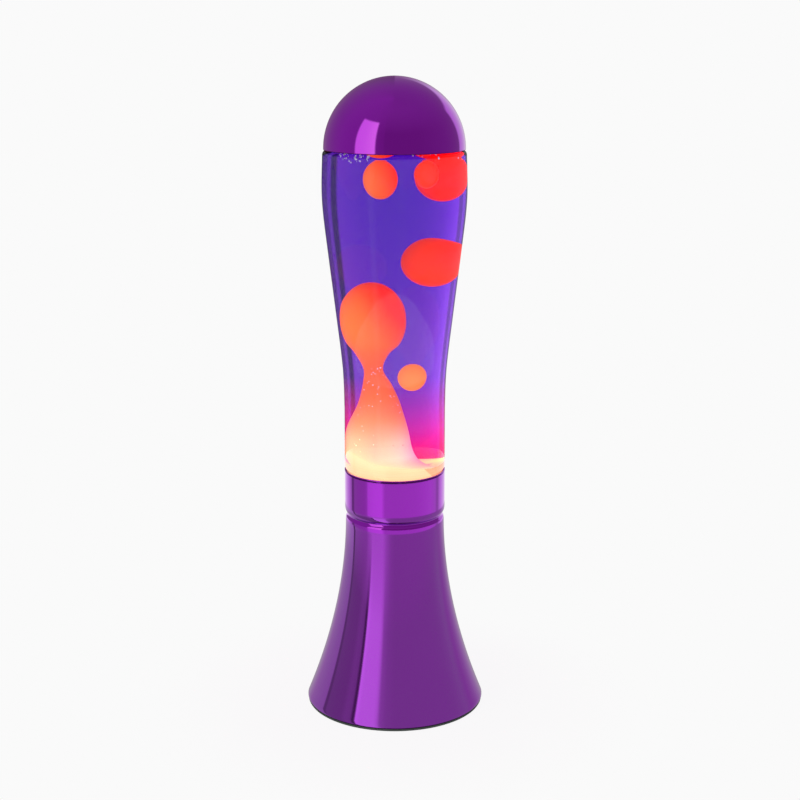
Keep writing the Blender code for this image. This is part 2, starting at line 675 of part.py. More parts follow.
def make_holder(finishes):
    """The bulb holder: nipple and nut, cap, ceramic insert, contacts and skirt."""
    nut_top = BRACKET_TOP - BRACKET_SHEET - FIT
    nut("nipple_nut", (0.0, 0.0), nut_top - NUT_HEIGHT, finishes["zinc_steel"],
        NIPPLE_NUT_RADIUS, NUT_HEIGHT, NIPPLE_RADIUS)
    nipple_bottom = nut_top - NUT_HEIGHT - FIT
    nipple_top = HOLDER_BOTTOM + HOLDER_FLOOR + NIPPLE_WALL
    turned("threaded_nipple", ring_outline(NIPPLE_RADIUS - NIPPLE_WALL, NIPPLE_RADIUS, nipple_bottom,
                                           nipple_top), finishes["brass"], SMALL)
    bore = HOLDER_RADIUS - HOLDER_WALL
    ledge = bore - HOLDER_WALL
    cap = turned("holder_cap", [
        (HOLDER_RADIUS, HOLDER_CAP_TOP),
        (HOLDER_RADIUS, HOLDER_BOTTOM + HOLDER_WALL),
        (HOLDER_RADIUS - HOLDER_WALL, HOLDER_BOTTOM),
        (NIPPLE_RADIUS + SCREW_ROOM, HOLDER_BOTTOM),
        (NIPPLE_RADIUS + SCREW_ROOM, HOLDER_BOTTOM + HOLDER_FLOOR),
        (ledge, HOLDER_BOTTOM + HOLDER_FLOOR),
        (ledge, INSERT_BOTTOM - FIT),
        (bore, INSERT_BOTTOM - FIT),
        (bore, HOLDER_CAP_TOP),
    ], finishes["black_plastic"], SMALL)
    for index, side in enumerate((-1, 1)):
        x = side * LEAD_SPACING
        entry = rod_mesh((x, 0.0, lead_height()), (x, 2 * HOLDER_RADIUS, lead_height()), LEAD_RADIUS + FIT)
        cut(cap, entry, f"lead_entry_{index + 1}")
    turned("holder_insert", [
        (0.0, INSERT_TOP),
        (bore - SLIP, INSERT_TOP),
        (bore - SLIP, INSERT_BOTTOM),
        (0.0, INSERT_BOTTOM),
    ], finishes["ceramic"], SMALL)
    socket_inner = BULB_CAP_RADIUS + SLIP
    socket_bottom = INSERT_TOP + FIT
    turned("screw_socket", ring_outline(socket_inner, socket_inner + SOCKET_WALL, socket_bottom,
                                        socket_bottom + SOCKET_LENGTH), finishes["brass"], SMALL)
    half_length = socket_inner * 0.6
    add("centre_contact", box_mesh(
        (-half_length, -half_length / 2, INSERT_TOP + FIT),
        (half_length, half_length / 2, INSERT_TOP + FIT + CONTACT_THICKNESS),
    ), finishes["brass"])
    skirt_bore = socket_inner + SOCKET_WALL + SLIP
    turned("holder_skirt", [
        (skirt_bore, HOLDER_CAP_TOP + FIT + HOLDER_SKIRT_LENGTH),
        (HOLDER_RADIUS - HOLDER_WALL / 2, HOLDER_CAP_TOP + FIT + HOLDER_SKIRT_LENGTH),
        (HOLDER_RADIUS, HOLDER_CAP_TOP + FIT + HOLDER_SKIRT_LENGTH - HOLDER_WALL / 2),
        (HOLDER_RADIUS, HOLDER_CAP_TOP + FIT),
        (bore, HOLDER_CAP_TOP + FIT),
        (bore, INSERT_TOP + FIT),
        (skirt_bore, INSERT_TOP + FIT),
    ], finishes["black_plastic"], SMALL)


def lead_height():
    """The height at which the leads enter the holder's cap."""
    return HOLDER_BOTTOM + HOLDER_FLOOR + 2.5 * LEAD_RADIUS


# ---------------------------------------------------------------- wiring

def make_wiring(finishes):
    bottom = PLATE_TOP + FIT
    low = Vector((-BLOCK_SIZE.x / 2, BLOCK_Y - BLOCK_SIZE.y / 2, bottom))
    block = add("terminal_block", box_mesh(low, low + BLOCK_SIZE), finishes["white_plastic"])
    top = bottom + BLOCK_SIZE.z
    pitch = BLOCK_SIZE.x / 3
    for index in range(3):
        x = (index - 1) * pitch
        floor, rim = top - WELL_DEPTH, top + WELL_DEPTH / 5
        well = rod_mesh((x, BLOCK_Y, floor), (x, BLOCK_Y, rim), SCREW_RADIUS + 2 * SCREW_ROOM)
        cut(block, well, f"terminal_well_{index + 1}")
        body = rod_mesh((x, BLOCK_Y, floor + FIT), (x, BLOCK_Y, top - WELL_DEPTH / 5), SCREW_RADIUS)
        add(f"terminal_screw_{index + 1}", body, finishes["zinc_steel"])
    below, above = (0, BLOCK_Y, bottom - FIT), (0, BLOCK_Y, bottom + BLOCK_SCREW_DEPTH)
    socket = rod_mesh(below, above, SCREW_RADIUS + SCREW_ROOM)
    cut(block, socket, "block_screw_well")
    head_top = PLATE_BOTTOM - FIT
    screw("block_screw", (0.0, BLOCK_Y), head_top - SCREW_HEAD_HEIGHT, head_top,
          bottom + BLOCK_SCREW_DEPTH - 2 * FIT, finishes["zinc_steel"])

    face = BLOCK_Y - BLOCK_SIZE.y / 2 - FIT
    start_height = bottom + 0.45 * BLOCK_SIZE.z
    ledge = HOLDER_RADIUS - 2 * HOLDER_WALL
    for name, side, colour in (("live_lead", -1, "brown_lead"), ("neutral_lead", 1, "blue_lead")):
        gap = face - HOLDER_RADIUS
        route = [
            (side * pitch, face, start_height),
            (side * pitch, face - LEAD_RADIUS, start_height),
            (side * pitch, face - gap * 0.3, start_height),
            (side * (pitch + LEAD_SPACING) / 2, face - gap * 0.5, (start_height + lead_height()) / 2),
            (side * LEAD_SPACING, HOLDER_RADIUS + gap * 0.22, lead_height()),
            (side * LEAD_SPACING, HOLDER_RADIUS, lead_height()),
            (side * LEAD_SPACING, ledge * 0.75, lead_height()),
        ]
        wire(name, route[:1] + smooth(route[1:], 3), LEAD_RADIUS, finishes[colour])

    post = Vector((EARTH_POST.x, EARTH_POST.y))
    nut("earth_nut", tuple(post), PLATE_TOP + FIT, finishes["brass"])
    screw("earth_screw", tuple(post), head_top - SCREW_HEAD_HEIGHT, head_top,
          PLATE_TOP + FIT + NUT_HEIGHT + FIT, finishes["zinc_steel"])
    reach = NUT_RADIUS + FIT + LEAD_RADIUS / 2
    low = PLATE_TOP + FIT + LEAD_RADIUS * 1.1
    route = [
        (0.0, face, start_height),
        (0.0, face - LEAD_RADIUS, start_height),
        (post.x * 0.1, face - LEAD_RADIUS * 4, (start_height + low) / 2),
        (post.x - reach - LEAD_RADIUS * 4, post.y, low),
        (post.x - reach - LEAD_RADIUS, post.y, low),
        (post.x - reach, post.y, low),
    ]
    wire("earth_lead", route[:1] + smooth(route[1:-1], 3) + route[-1:], LEAD_RADIUS, finishes["green_lead"])


# ---------------------------------------------------------------- bulb

def make_bulb(finishes):
    """A reflector bulb on a small screw cap; the rise carries the cap, the turn the glass."""
    rise = empty("bulb_rise_axis", (0.0, 0.0, BULB_TIP))
    spin = empty("bulb_turn_axis", (0.0, 0.0, BULB_TIP))
    here = (0.0, 0.0, BULB_TIP)
    insulator_bottom = BULB_TIP + BUTTON_HEIGHT + FIT
    shell_bottom = insulator_bottom + INSULATOR_HEIGHT + FIT
    shell_top = shell_bottom + BULB_CAP_LENGTH
    button = BULB_CAP_RADIUS * 0.36
    turned("bulb_contact", [
        (0.0, BULB_TIP),
        (button * 0.75, BULB_TIP + BUTTON_HEIGHT * 0.25),
        (button, BULB_TIP + BUTTON_HEIGHT),
        (0.0, BULB_TIP + BUTTON_HEIGHT),
    ], finishes["plated_steel"], TINY, origin=here, parent=rise)
    turned("bulb_insulator", [
        (0.0, insulator_bottom),
        (button * 1.1, insulator_bottom),
        (BULB_CAP_RADIUS * 0.7, insulator_bottom + INSULATOR_HEIGHT),
        (0.0, insulator_bottom + INSULATOR_HEIGHT),
    ], finishes["black_glass"], SMALL, origin=here, parent=rise)
    shell_outside = [
        (BULB_CAP_RADIUS, shell_top),
        (BULB_CAP_RADIUS, shell_bottom + BULB_CAP_RADIUS * 0.3),
        (BULB_CAP_RADIUS * 0.72, shell_bottom),
    ]
    turned("bulb_cap_shell", walled(shell_outside, BULB_CAP_WALL), finishes["plated_steel"], SMALL,
           origin=here, parent=rise)

    tail = BULB_CAP_RADIUS - BULB_CAP_WALL - SLIP
    neck_start = shell_top + SLIP
    shoulder_z = BULB_TOP - 0.55 * BULB_RADIUS
    side = smooth([
        (BULB_RADIUS, shoulder_z),
        (BULB_RADIUS * 0.86, shoulder_z - (shoulder_z - neck_start) * 0.30),
        (BULB_RADIUS * 0.60, shoulder_z - (shoulder_z - neck_start) * 0.62),
        (BULB_NECK, neck_start + BUTTON_HEIGHT),
    ], 2)
    dome = arc((0.0, shoulder_z), (BULB_RADIUS, BULB_TOP - shoulder_z), 90, 0, 4)[:-1]
    glass_outside = dome + side + [(tail, neck_start), (tail, shell_top - BULB_TAIL_LENGTH)]
    turned("bulb_glass", walled(glass_outside, BULB_WALL), finishes["bulb_glass"], SMALL,
           origin=here, parent=spin)
    stem_radius = tail * 0.42
    stem_top = neck_start + (BULB_TOP - neck_start) * 0.38
    turned("bulb_stem", [
        (0.0, stem_top),
        (stem_radius * 0.6, stem_top),
        (stem_radius, stem_top - stem_radius),
        (stem_radius, shell_top - BULB_TAIL_LENGTH * 0.8),
        (0.0, shell_top - BULB_TAIL_LENGTH * 0.8),
    ], finishes["bulb_glass"], TINY, origin=here, parent=spin)
    spread = BULB_RADIUS * 0.36
    legs = stem_top + 0.28 * (BULB_TOP - stem_top)
    route = [
        (-stem_radius * 0.35, 0.0, stem_top + FIT),
        (-spread, 0.0, legs),
        (-spread * 0.5, spread * 0.5, legs + spread * 0.15),
        (0.0, spread * 0.6, legs + spread * 0.07),
        (spread * 0.5, spread * 0.5, legs + spread * 0.15),
        (spread, 0.0, legs),
        (stem_radius * 0.35, 0.0, stem_top + FIT),
    ]
    wire("bulb_filament", route, FILAMENT_RADIUS, finishes["tungsten"], resolution=0,
         origin=here, parent=spin)


# ---------------------------------------------------------------- bottle and what is in it

def make_seat_ring(finishes):
    outline = ring_outline(SEAT_RADIUS - SEAT_WIDTH, SEAT_RADIUS, SEAT_Z, SEAT_Z + SEAT_THICKNESS)
    turned("seat_ring", outline, finishes["silicone"])


def make_bottle(finishes, guide):
    here = tuple(guide.location)
    outside = bottle_outline()
    inside = offset_inward(outside, GLASS_WALL)
    mouth = NECK_RADIUS - GLASS_WALL
    top = FOOT_Z + NECK_TOP
    throat = [(mouth, top), *[(min(r, mouth) if z > top - LIP_HEIGHT * 2 else r, z) for r, z in inside[2:]]]
    turned("glass_bottle", outside + throat[::-1], finishes["clear_glass"], origin=here, parent=guide)

    liner_bottom = top + FIT
    liner_radius = LIP_RADIUS - SLIP
    turned("crown_liner", [
        (0.0, liner_bottom + LINER_THICKNESS),
        (liner_radius, liner_bottom + LINER_THICKNESS),
        (liner_radius, liner_bottom),
        (0.0, liner_bottom),
    ], finishes["silicone"], SMALL, origin=here, parent=guide)
    crown_inner = LIP_RADIUS + SLIP
    under = liner_bottom + LINER_THICKNESS + FIT
    rounding = 2 * CROWN_WALL
    crown_outside = [
        (0.0, under + CROWN_WALL),
        (crown_inner - rounding, under + CROWN_WALL),
        (crown_inner + CROWN_WALL, under + CROWN_WALL - rounding),
        (crown_inner + CROWN_WALL * 1.4, under - CROWN_SKIRT * 0.6),
        (crown_inner + CROWN_WALL * 2.6, under - CROWN_SKIRT),
    ]
    turned("crown_cork", walled(crown_outside, CROWN_WALL), finishes["plated_steel"], SMALL,
           origin=here, parent=guide)


def level_and_bore(share):
    """The height at a share of the liquid's height, and the bottle's inner radius there."""
    level = POOL_TOP + share * (LIQUID_TOP - POOL_TOP)
    return level, radius_at(offset_inward(bottle_outline(), GLASS_WALL), level)


def column_stations(extra):
    """Round sections of the wax column, in world places, made larger by a clearance."""
    stations = []
    for share, left, radius in COLUMN:
        level, bore = level_and_bore(share)
        stations.append((-left * bore, 0.0, level, radius * bore + extra))
    x, y, _, radius = stations[-1]
    stations.append((x, y, level_and_bore(COLUMN_TOP)[0] + extra, radius * 0.3))
    return stations


def make_wax_column(finishes, guide):
    """Molten wax on the bottle's floor with a column that swells into a bubble."""
    bound = offset_inward(bottle_outline(), GLASS_WALL + FIT)
    pool = between(bound, POOL_BOTTOM + FIT / 2, POOL_TOP - POOL_CREST)[::-1]
    stations = [(0.0, 0.0, z, radius) for radius, z in pool] + column_stations(0.0)
    wax = add("wax_column", loft_mesh(stations, SMALL), finishes["red_wax"], guide.location, guide)
    trench = ring_outline(
        COIL_RADIUS - COIL_TURN_RADIUS - 3 * COIL_WIRE, COIL_RADIUS + COIL_TURN_RADIUS + 3 * COIL_WIRE,
        POOL_BOTTOM - SLEEVE_DROP, coil_height() + COIL_TURN_RADIUS + 3 * COIL_WIRE,
    )
    cut(wax, turn_mesh(trench, SMALL), "coil_trench")


def coil_height():
    return POOL_BOTTOM + COIL_WIRE + COIL_TURN_RADIUS + FIT


def make_coil(finishes, guide):
    """A spring of wire bent into a ring, which lies on the bottle's floor."""
    per_turn = 6
    points = []
    for index in range(COIL_TURNS * per_turn):
        around = 2 * math.pi * index / (COIL_TURNS * per_turn)
        twist = around * COIL_TURNS
        radius = COIL_RADIUS + COIL_TURN_RADIUS * math.cos(twist)
        height = coil_height() + COIL_TURN_RADIUS * math.sin(twist)
        points.append((radius * math.cos(around), radius * math.sin(around), height))
    wire("heating_coil", points, COIL_WIRE, finishes["plated_steel"], closed=True, resolution=0,
         origin=tuple(guide.location), parent=guide)


def make_blobs_and_liquid(finishes, guide):
    bound = between(offset_inward(bottle_outline(), GLASS_WALL + FIT), LIQUID_BOTTOM, LIQUID_TOP)
    outline = [(0.0, LIQUID_TOP), *bound, (0.0, LIQUID_BOTTOM)]
    liquid = turned("liquid", outline, finishes["violet_liquid"], 28, origin=tuple(guide.location),
                    parent=guide)
    stations = column_stations(FIT)
    sleeve = [(0.0, 0.0, LIQUID_BOTTOM - SLEEVE_DROP, stations[0][3] + 2 * FIT), *stations]
    cut(liquid, loft_mesh(sleeve, SMALL), "column_sleeve")
    for name, share, across, radius_share, height_share in BLOBS:
        level, bore = level_and_bore(share)
        centre = Vector((across[0] * bore, across[1] * bore, level))
        radius = radius_share * bore
        half_height = height_share * (LIQUID_TOP - POOL_TOP)
        add(name, ball_mesh(centre, radius, half_height), finishes["red_wax"], centre, guide)
        pocket = ball_mesh(centre, radius + 2 * FIT, half_height + 2 * FIT)
        cut(liquid, pocket, f"{name}_pocket")
        sideways = Vector((centre.x, centre.y, 0.0)).normalized() * 2 * BELLY_RADIUS
        channel = rod_mesh(centre, centre + sideways, VENT_TUBE, 6)
        cut(liquid, channel, f"{name}_channel")


# ---------------------------------------------------------------- cap

def make_cap(finishes):
    """A spun dome whose rim stands on the bottle's shoulder."""
    inner = CAP_RADIUS - CAP_WALL
    shoulder = bottle_outline()
    rim = height_on_shoulder(shoulder, inner - FIT) + FIT
    guide = empty("cap_lift_axis", (0.0, 0.0, rim))
    steps = 8
    outer = arc((0.0, rim), (CAP_RADIUS, CAP_RISE), 90, 0, steps)
    outline = outer + arc((0.0, rim), (inner, CAP_RISE - CAP_WALL), 0, 90, steps)
    outline[0] = (0.0, outline[0][1])
    outline[-1] = (0.0, outline[-1][1])
    turned("cap_shell", outline, finishes["purple_metal"], origin=tuple(guide.location), parent=guide)
    return guide


def height_on_shoulder(outline, radius):
    """The height of the glass under a circle of this radius on the shoulder."""
    belly = FOOT_Z + BELLY_HEIGHT
    for (r0, z0), (r1, z1) in zip(outline, outline[1:]):
        if z1 > belly and r0 <= radius < r1:
            return z0 + (z1 - z0) * (radius - r0) / (r1 - r0)
    return FOOT_Z + SHOULDER_HEIGHT


def main():
    for thing in list(bpy.data.objects):
        bpy.data.objects.remove(thing, do_unlink=True)
    finishes = make_finishes()
    make_base_trim(finishes)
    make_base_shell(finishes)
    make_grommet(finishes)
    make_bottom_plate(finishes)
    make_bracket(finishes)
    make_holder(finishes)
    make_wiring(finishes)
    make_bulb(finishes)
    make_seat_ring(finishes)
    bottle_guide = empty("bottle_lift_axis", (0.0, 0.0, FOOT_Z))
    make_bottle(finishes, bottle_guide)
    make_wax_column(finishes, bottle_guide)
    make_coil(finishes, bottle_guide)
    make_blobs_and_liquid(finishes, bottle_guide)
    cap_guide = make_cap(finishes)
    cap_guide.parent = bottle_guide
    cap_guide.location -= bottle_guide.location


main()
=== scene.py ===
"""The looks of a lava lamp: spun purple metal, a glass bottle of violet liquid and glowing wax."""
import math
import random

import bpy
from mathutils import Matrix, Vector


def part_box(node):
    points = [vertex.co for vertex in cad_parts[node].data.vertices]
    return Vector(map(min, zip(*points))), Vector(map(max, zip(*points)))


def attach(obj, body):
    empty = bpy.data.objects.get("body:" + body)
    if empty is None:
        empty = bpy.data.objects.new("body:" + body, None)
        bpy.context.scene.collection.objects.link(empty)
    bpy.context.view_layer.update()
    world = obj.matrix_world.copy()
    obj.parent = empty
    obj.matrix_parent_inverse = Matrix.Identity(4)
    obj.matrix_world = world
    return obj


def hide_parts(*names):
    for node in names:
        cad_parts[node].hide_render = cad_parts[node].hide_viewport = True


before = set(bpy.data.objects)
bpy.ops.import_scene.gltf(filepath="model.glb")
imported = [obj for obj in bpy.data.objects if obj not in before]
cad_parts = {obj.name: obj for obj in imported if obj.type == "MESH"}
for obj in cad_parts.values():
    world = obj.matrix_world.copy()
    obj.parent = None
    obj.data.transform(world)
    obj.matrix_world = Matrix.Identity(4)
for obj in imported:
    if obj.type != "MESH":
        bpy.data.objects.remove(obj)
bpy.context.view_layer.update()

MM = 0.001

# Turned metal, in millimetres from the axis and from the table
RIM_RADIUS = 59.8
RIM_HEIGHT = 3.1
TRUMPET_TOP = 129.0
TRUMPET_TOP_RADIUS = 33.0
TRUMPET_POWER = 1.9
COLLAR_RADIUS = 33.5
SHEET = 1.2
LIP_ROUND = 0.6
RIM_ROUND = 0.7
FLANGE = 11.0
TRUMPET_STEPS = 64
CAP_RADIUS = 45.6
CAP_WALL = 1.0

# Height above the table and inset from the collar, down the groove under it
GROOVE = (
    (139.6, 0.0), (137.6, 0.03), (136.0, 0.25), (134.7, 0.75), (133.6, 1.45), (132.7, 1.9), (131.5, 1.35),
    (130.6, 0.75))

# Glass, with heights above its foot
SHOULDER_HEIGHT = 234.0
SHOULDER_CREST = 40.3
SHOULDER_ROUND = (6.0, 4.1)
BELLY_HEIGHT = 213.0
BELLY_RADIUS = 46.9
WAIST_HEIGHT = 68.0
WAIST_RADIUS = 33.3
BELLY_CURVE = ((0.94, 0.885), (0.72, 0.705), (0.385, 0.445), (0.07, 0.185))   # shares of the way out and up
HEEL_RADIUS = 31.9           # of the part that stands in the collar
HEEL_ROUND = 3.5
NECK_RADIUS = 12.4
LIP_RADIUS = 13.3
MOUTH_RADIUS = 9.8
NECK_CURVE = ((12.4, 392.7), (14.9, 384.6), (28.2, 378.8))      # radius and height above the table
GLASS_WALL = 2.6
WET = 0.1                    # liquid and wax reach this far into the glass, so that no air lies between

FOOT_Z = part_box("glass_bottle")[0].z / MM
LIP_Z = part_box("glass_bottle")[1].z / MM
LIQUID_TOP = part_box("liquid")[1].z / MM
POOL_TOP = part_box("liquid")[0].z / MM - 0.3
CAP_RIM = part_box("cap_shell")[0].z / MM
CAP_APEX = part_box("cap_shell")[1].z / MM
COLLAR_TOP = 162.7

# The soft edge under the base, in (radius, height)
EDGE_OUTLINE = [(59.4, 1.6), (59.5, 1.2), (59.4, 0.5), (59.2, 0.15), (58.8, 0.0), (56.4, 0.0), (56.4, 1.6)]

INLET_HEIGHT = 12.42         # where the cord's bush sits in the back of the trumpet
INLET_RADIUS = 4.6
INLET_TILT = 20.7

CORK_RADIUS = 14.95          # the crown cork under the cap
CORK_WALL = 0.5
CORK_FLUTES = 21
CORK_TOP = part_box("crown_cork")[1].z / MM
CORK_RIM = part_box("crown_cork")[0].z / MM
# Each flute is pulled in by this share, from this height down
CORK_FOLDS = ((CORK_TOP - 2.6, 0.99), (CORK_RIM + 2.0, 0.985), (CORK_RIM + 1.0, 0.98))


# ---------------------------------------------------------------- outlines, in (radius, height) mm

def arc(centre, radii, start, stop, steps):
    """Points on an ellipse between two angles in degrees."""
    points = []
    for step in range(steps + 1):
        angle = math.radians(start + (stop - start) * step / steps)
        points.append((centre[0] + radii[0] * math.cos(angle), centre[1] + radii[1] * math.sin(angle)))
    return points


def flowing(points, per_span):
    """A smooth curve through points of any dimension."""
    ends = [points[0], *points, points[-1]]
    curve = []
    for index in range(1, len(ends) - 2):
        before, start, stop, after = (Vector(ends[index + shift]) for shift in (-1, 0, 1, 2))
        for step in range(per_span):
            t = step / per_span
            curve.append(tuple(0.5 * (
                2 * start
                + (stop - before) * t
                + (2 * before - 5 * start + 4 * stop - after) * t * t
                + (3 * start - before - 3 * stop + after) * t ** 3
            )))
    curve.append(tuple(points[-1]))
    return curve


def trumpet_radius(z):
    share = 1 - (z - RIM_HEIGHT) / (TRUMPET_TOP - RIM_HEIGHT)
    return TRUMPET_TOP_RADIUS + (RIM_RADIUS - TRUMPET_TOP_RADIUS) * max(0.0, share) ** TRUMPET_POWER


def base_outline():
    """The base's outside from the collar's lip down to the turned-in flange."""
    outline = arc((COLLAR_RADIUS - LIP_ROUND, COLLAR_TOP), (LIP_ROUND, LIP_ROUND), 90, 0, 5)
    outline += [(COLLAR_RADIUS, COLLAR_TOP - 1.2), (COLLAR_RADIUS, 152.0), (COLLAR_RADIUS, 141.5)]
    groove = [(COLLAR_RADIUS - inset, z) for z, inset in GROOVE]
    outline += flowing([*groove, (TRUMPET_TOP_RADIUS, TRUMPET_TOP)], 4)
    for step in range(1, TRUMPET_STEPS + 1):
        z = TRUMPET_TOP + (RIM_HEIGHT - TRUMPET_TOP) * (step / TRUMPET_STEPS) ** 0.9
        outline.append((trumpet_radius(z), z))
    outline += arc((RIM_RADIUS - RIM_ROUND, RIM_HEIGHT - 0.5), (RIM_ROUND, RIM_ROUND), 0, -90, 5)
    return outline + [(RIM_RADIUS - FLANGE, RIM_HEIGHT - 1.2)]


def bottle_body():
    """The glass from the shoulder's crest down to the middle of the foot."""
    waist, out, up = FOOT_Z + WAIST_HEIGHT, BELLY_RADIUS - WAIST_RADIUS, BELLY_HEIGHT - WAIST_HEIGHT
    body = arc((SHOULDER_CREST, FOOT_Z + SHOULDER_HEIGHT), SHOULDER_ROUND, 90, 0, 16)
    belly = [(WAIST_RADIUS + out * wide, waist + up * high) for wide, high in ((1.0, 1.0), *BELLY_CURVE)]
    body += flowing([body[-1], *belly, (WAIST_RADIUS, waist)], 8)[1:]
    body += flowing([
        (WAIST_RADIUS, COLLAR_TOP + 2.6), (WAIST_RADIUS - 0.5, COLLAR_TOP + 1.4),
        (HEEL_RADIUS, COLLAR_TOP + 0.2)], 4)
    heel = arc((HEEL_RADIUS - HEEL_ROUND, FOOT_Z + HEEL_ROUND), (HEEL_ROUND, HEEL_ROUND), 0, -90, 8)
    return body + heel + [(0.0, FOOT_Z)]


def inside_of(outline, distance):
    """An outline that runs from top to bottom, moved inwards; points that would climb back are left out."""
    moved = []
    for index, point in enumerate(outline):
        ahead = Vector(outline[min(index + 1, len(outline) - 1)])
        behind = Vector(outline[max(index - 1, 0)])
        run = (ahead - behind).normalized()
        place = (max(0.0, point[0] + run.y * distance), point[1] - run.x * distance)
        if not moved or place[1] <= moved[-1][1] + 0.001:
            moved.append(place)
    return moved


def clipped(outline, low, high):
    """The stretch of an outline, running from top to bottom, between two heights."""
    points = []
    for (r0, z0), (r1, z1) in zip(outline, outline[1:]):
        for level in (high, low):
            if z1 < level <= z0:
                share = (z0 - level) / (z0 - z1)
                points.append((r0 + (r1 - r0) * share, level))
        if low < z1 < high:
            points.append((r1, z1))
    return points


def bore_radius(z):
    """The bottle's inner radius at a height."""
    return clipped(inside_of(bottle_body(), GLASS_WALL), z - 0.5, z)[0][0]


# ---------------------------------------------------------------- modelling

def start_clean():
    if bpy.context.object and bpy.context.object.mode != "OBJECT":
        bpy.ops.object.mode_set(mode="OBJECT")
    bpy.ops.object.select_all(action="DESELECT")


def settle(name, sharp=40):
    """Close the active piece, point its faces outwards, smooth it and leave its object at the origin."""
    bpy.ops.object.mode_set(mode="EDIT")
    bpy.ops.mesh.select_all(action="SELECT")
    bpy.ops.mesh.remove_doubles(threshold=0.004 * MM)
    bpy.ops.mesh.normals_make_consistent(inside=False)
    bpy.ops.object.mode_set(mode="OBJECT")
    bpy.ops.object.transform_apply(location=True, rotation=True, scale=True)
    bpy.ops.object.shade_smooth_by_angle(angle=math.radians(sharp))
    piece = bpy.context.object
    piece.name = name
    piece.data.name = name
    return piece


def point_at(place):
    """A new mesh that is one vertex, in edit mode and selected."""
    start_clean()
    bpy.ops.mesh.primitive_plane_add(size=MM, location=(0, 0, 0))
    bpy.ops.object.mode_set(mode="EDIT")
    bpy.ops.mesh.select_all(action="SELECT")
    bpy.ops.mesh.merge(type="CENTER")
    bpy.ops.transform.translate(value=place)


def trace(outline):
    """Extrude one vertex along an outline in (radius, height) mm."""
    places = [Vector((radius * MM, 0.0, z * MM)) for radius, z in outline]
    point_at(places[0])
    for before, after in zip(places, places[1:]):
        bpy.ops.mesh.extrude_region_move(TRANSFORM_OT_translate={"value": after - before})


def give_wall(piece, thickness, sharp, even=True):
    """Give the active sheet a wall on its inner side."""
    sheet = piece.modifiers.new("wall", "SOLIDIFY")
    sheet.thickness = thickness * MM
    sheet.offset = -1.0
    sheet.use_even_offset = even
    bpy.ops.object.modifier_apply(modifier=sheet.name)
    bpy.ops.object.shade_smooth_by_angle(angle=math.radians(sharp))


def turned(name, outline, around=128, closed=False, sharp=40, wall=0.0):
    """Spin an outline about the upright axis, as on a lathe, and give sheet metal its wall."""
    trace(outline + outline[:1] if closed else outline)
    bpy.ops.mesh.select_all(action="SELECT")
    bpy.ops.mesh.spin(steps=around, angle=2 * math.pi, center=(0, 0, 0), axis=(0, 0, 1))
    piece = settle(name, sharp)
    if wall:
        give_wall(piece, wall, sharp)
    return piece


def cut_with(piece, cutter, operation):
    """Cut a piece with another, which then goes."""
    start_clean()
    bpy.context.view_layer.objects.active = piece
    piece.select_set(True)
    cut = piece.modifiers.new("cut", "BOOLEAN")
    cut.operation = operation
    cut.solver = "EXACT"
    cut.object = cutter
    bpy.ops.object.modifier_apply(modifier=cut.name)
    bpy.data.objects.remove(cutter)


def skinned(name, sections, around=96):
    """Extrude a circle up through round sections (x, y, z, radius) in mm, and close both ends."""
    start_clean()
    x, y, z, radius = sections[0]
    bpy.ops.mesh.primitive_circle_add(
        vertices=around, radius=radius * MM, fill_type="NGON", location=(x * MM, y * MM, z * MM))
    bpy.ops.object.mode_set(mode="EDIT")
    bpy.ops.mesh.select_all(action="SELECT")
    for (x0, y0, z0, r0), (x1, y1, z1, r1) in zip(sections, sections[1:]):
        step = ((x1 - x0) * MM, (y1 - y0) * MM, (z1 - z0) * MM)
        bpy.ops.mesh.extrude_region_move(TRANSFORM_OT_translate={"value": step})
        bpy.ops.transform.resize(value=(r1 / r0, r1 / r0, 1.0))
    bpy.ops.mesh.merge(type="CENTER")
    return settle(name, 80)


def droplet(name, centre, radii, shape=(), around=72, rings=48):
    """A ball of wax, pushed and pulled by soft moves (where, which way, how wide) in shares of its size."""
    start_clean()
    bpy.ops.mesh.primitive_uv_sphere_add(
        segments=around, ring_count=rings, radius=1.0, location=(0, 0, 0))
    bpy.ops.object.mode_set(mode="EDIT")
    mesh = bpy.context.object.data
    for where, push, width in shape:
        bpy.ops.mesh.select_all(action="DESELECT")
        bpy.ops.object.mode_set(mode="OBJECT")
        nearest = min(mesh.vertices, key=lambda vertex: (vertex.co - Vector(where)).length)
        nearest.select = True
        bpy.ops.object.mode_set(mode="EDIT")
        bpy.ops.transform.translate(
            value=push, use_proportional_edit=True, proportional_edit_falloff="SMOOTH",
            proportional_size=width)
    bpy.ops.mesh.select_all(action="SELECT")
    bpy.ops.transform.resize(value=tuple(radius * MM for radius in radii), center_override=(0, 0, 0))
    bpy.ops.transform.translate(value=tuple(place * MM for place in centre))
    return settle(name, 180)


def fit_in(piece, body, slot, finish, *nodes):
    """Give a piece its finish and its place in the frame, and hide the nodes that it stands for."""
    piece.data.materials.clear()
    piece.data.materials.append(finish)
    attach(piece, body)
    if nodes:
        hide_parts(*nodes)
    return piece


# ---------------------------------------------------------------- finishes

def new_finish(name):
    finish = bpy.data.materials.new(name)
    finish.use_nodes = True
    nodes = finish.node_tree.nodes
    return finish, nodes, finish.node_tree.links, nodes["Principled BSDF"]


def group(name, inputs, outputs):
    """An empty node group with named float or colour sockets."""
    tree = bpy.data.node_groups.new(name, "ShaderNodeTree")
    for socket, kind, value in inputs:
        made = tree.interface.new_socket(socket, in_out="INPUT", socket_type=kind)
        made.default_value = value
    for socket, kind in outputs:
        tree.interface.new_socket(socket, in_out="OUTPUT", socket_type=kind)
    return tree, tree.nodes.new("NodeGroupInput"), tree.nodes.new("NodeGroupOutput")


FLOAT, COLOUR = "NodeSocketFloat", "NodeSocketColor"


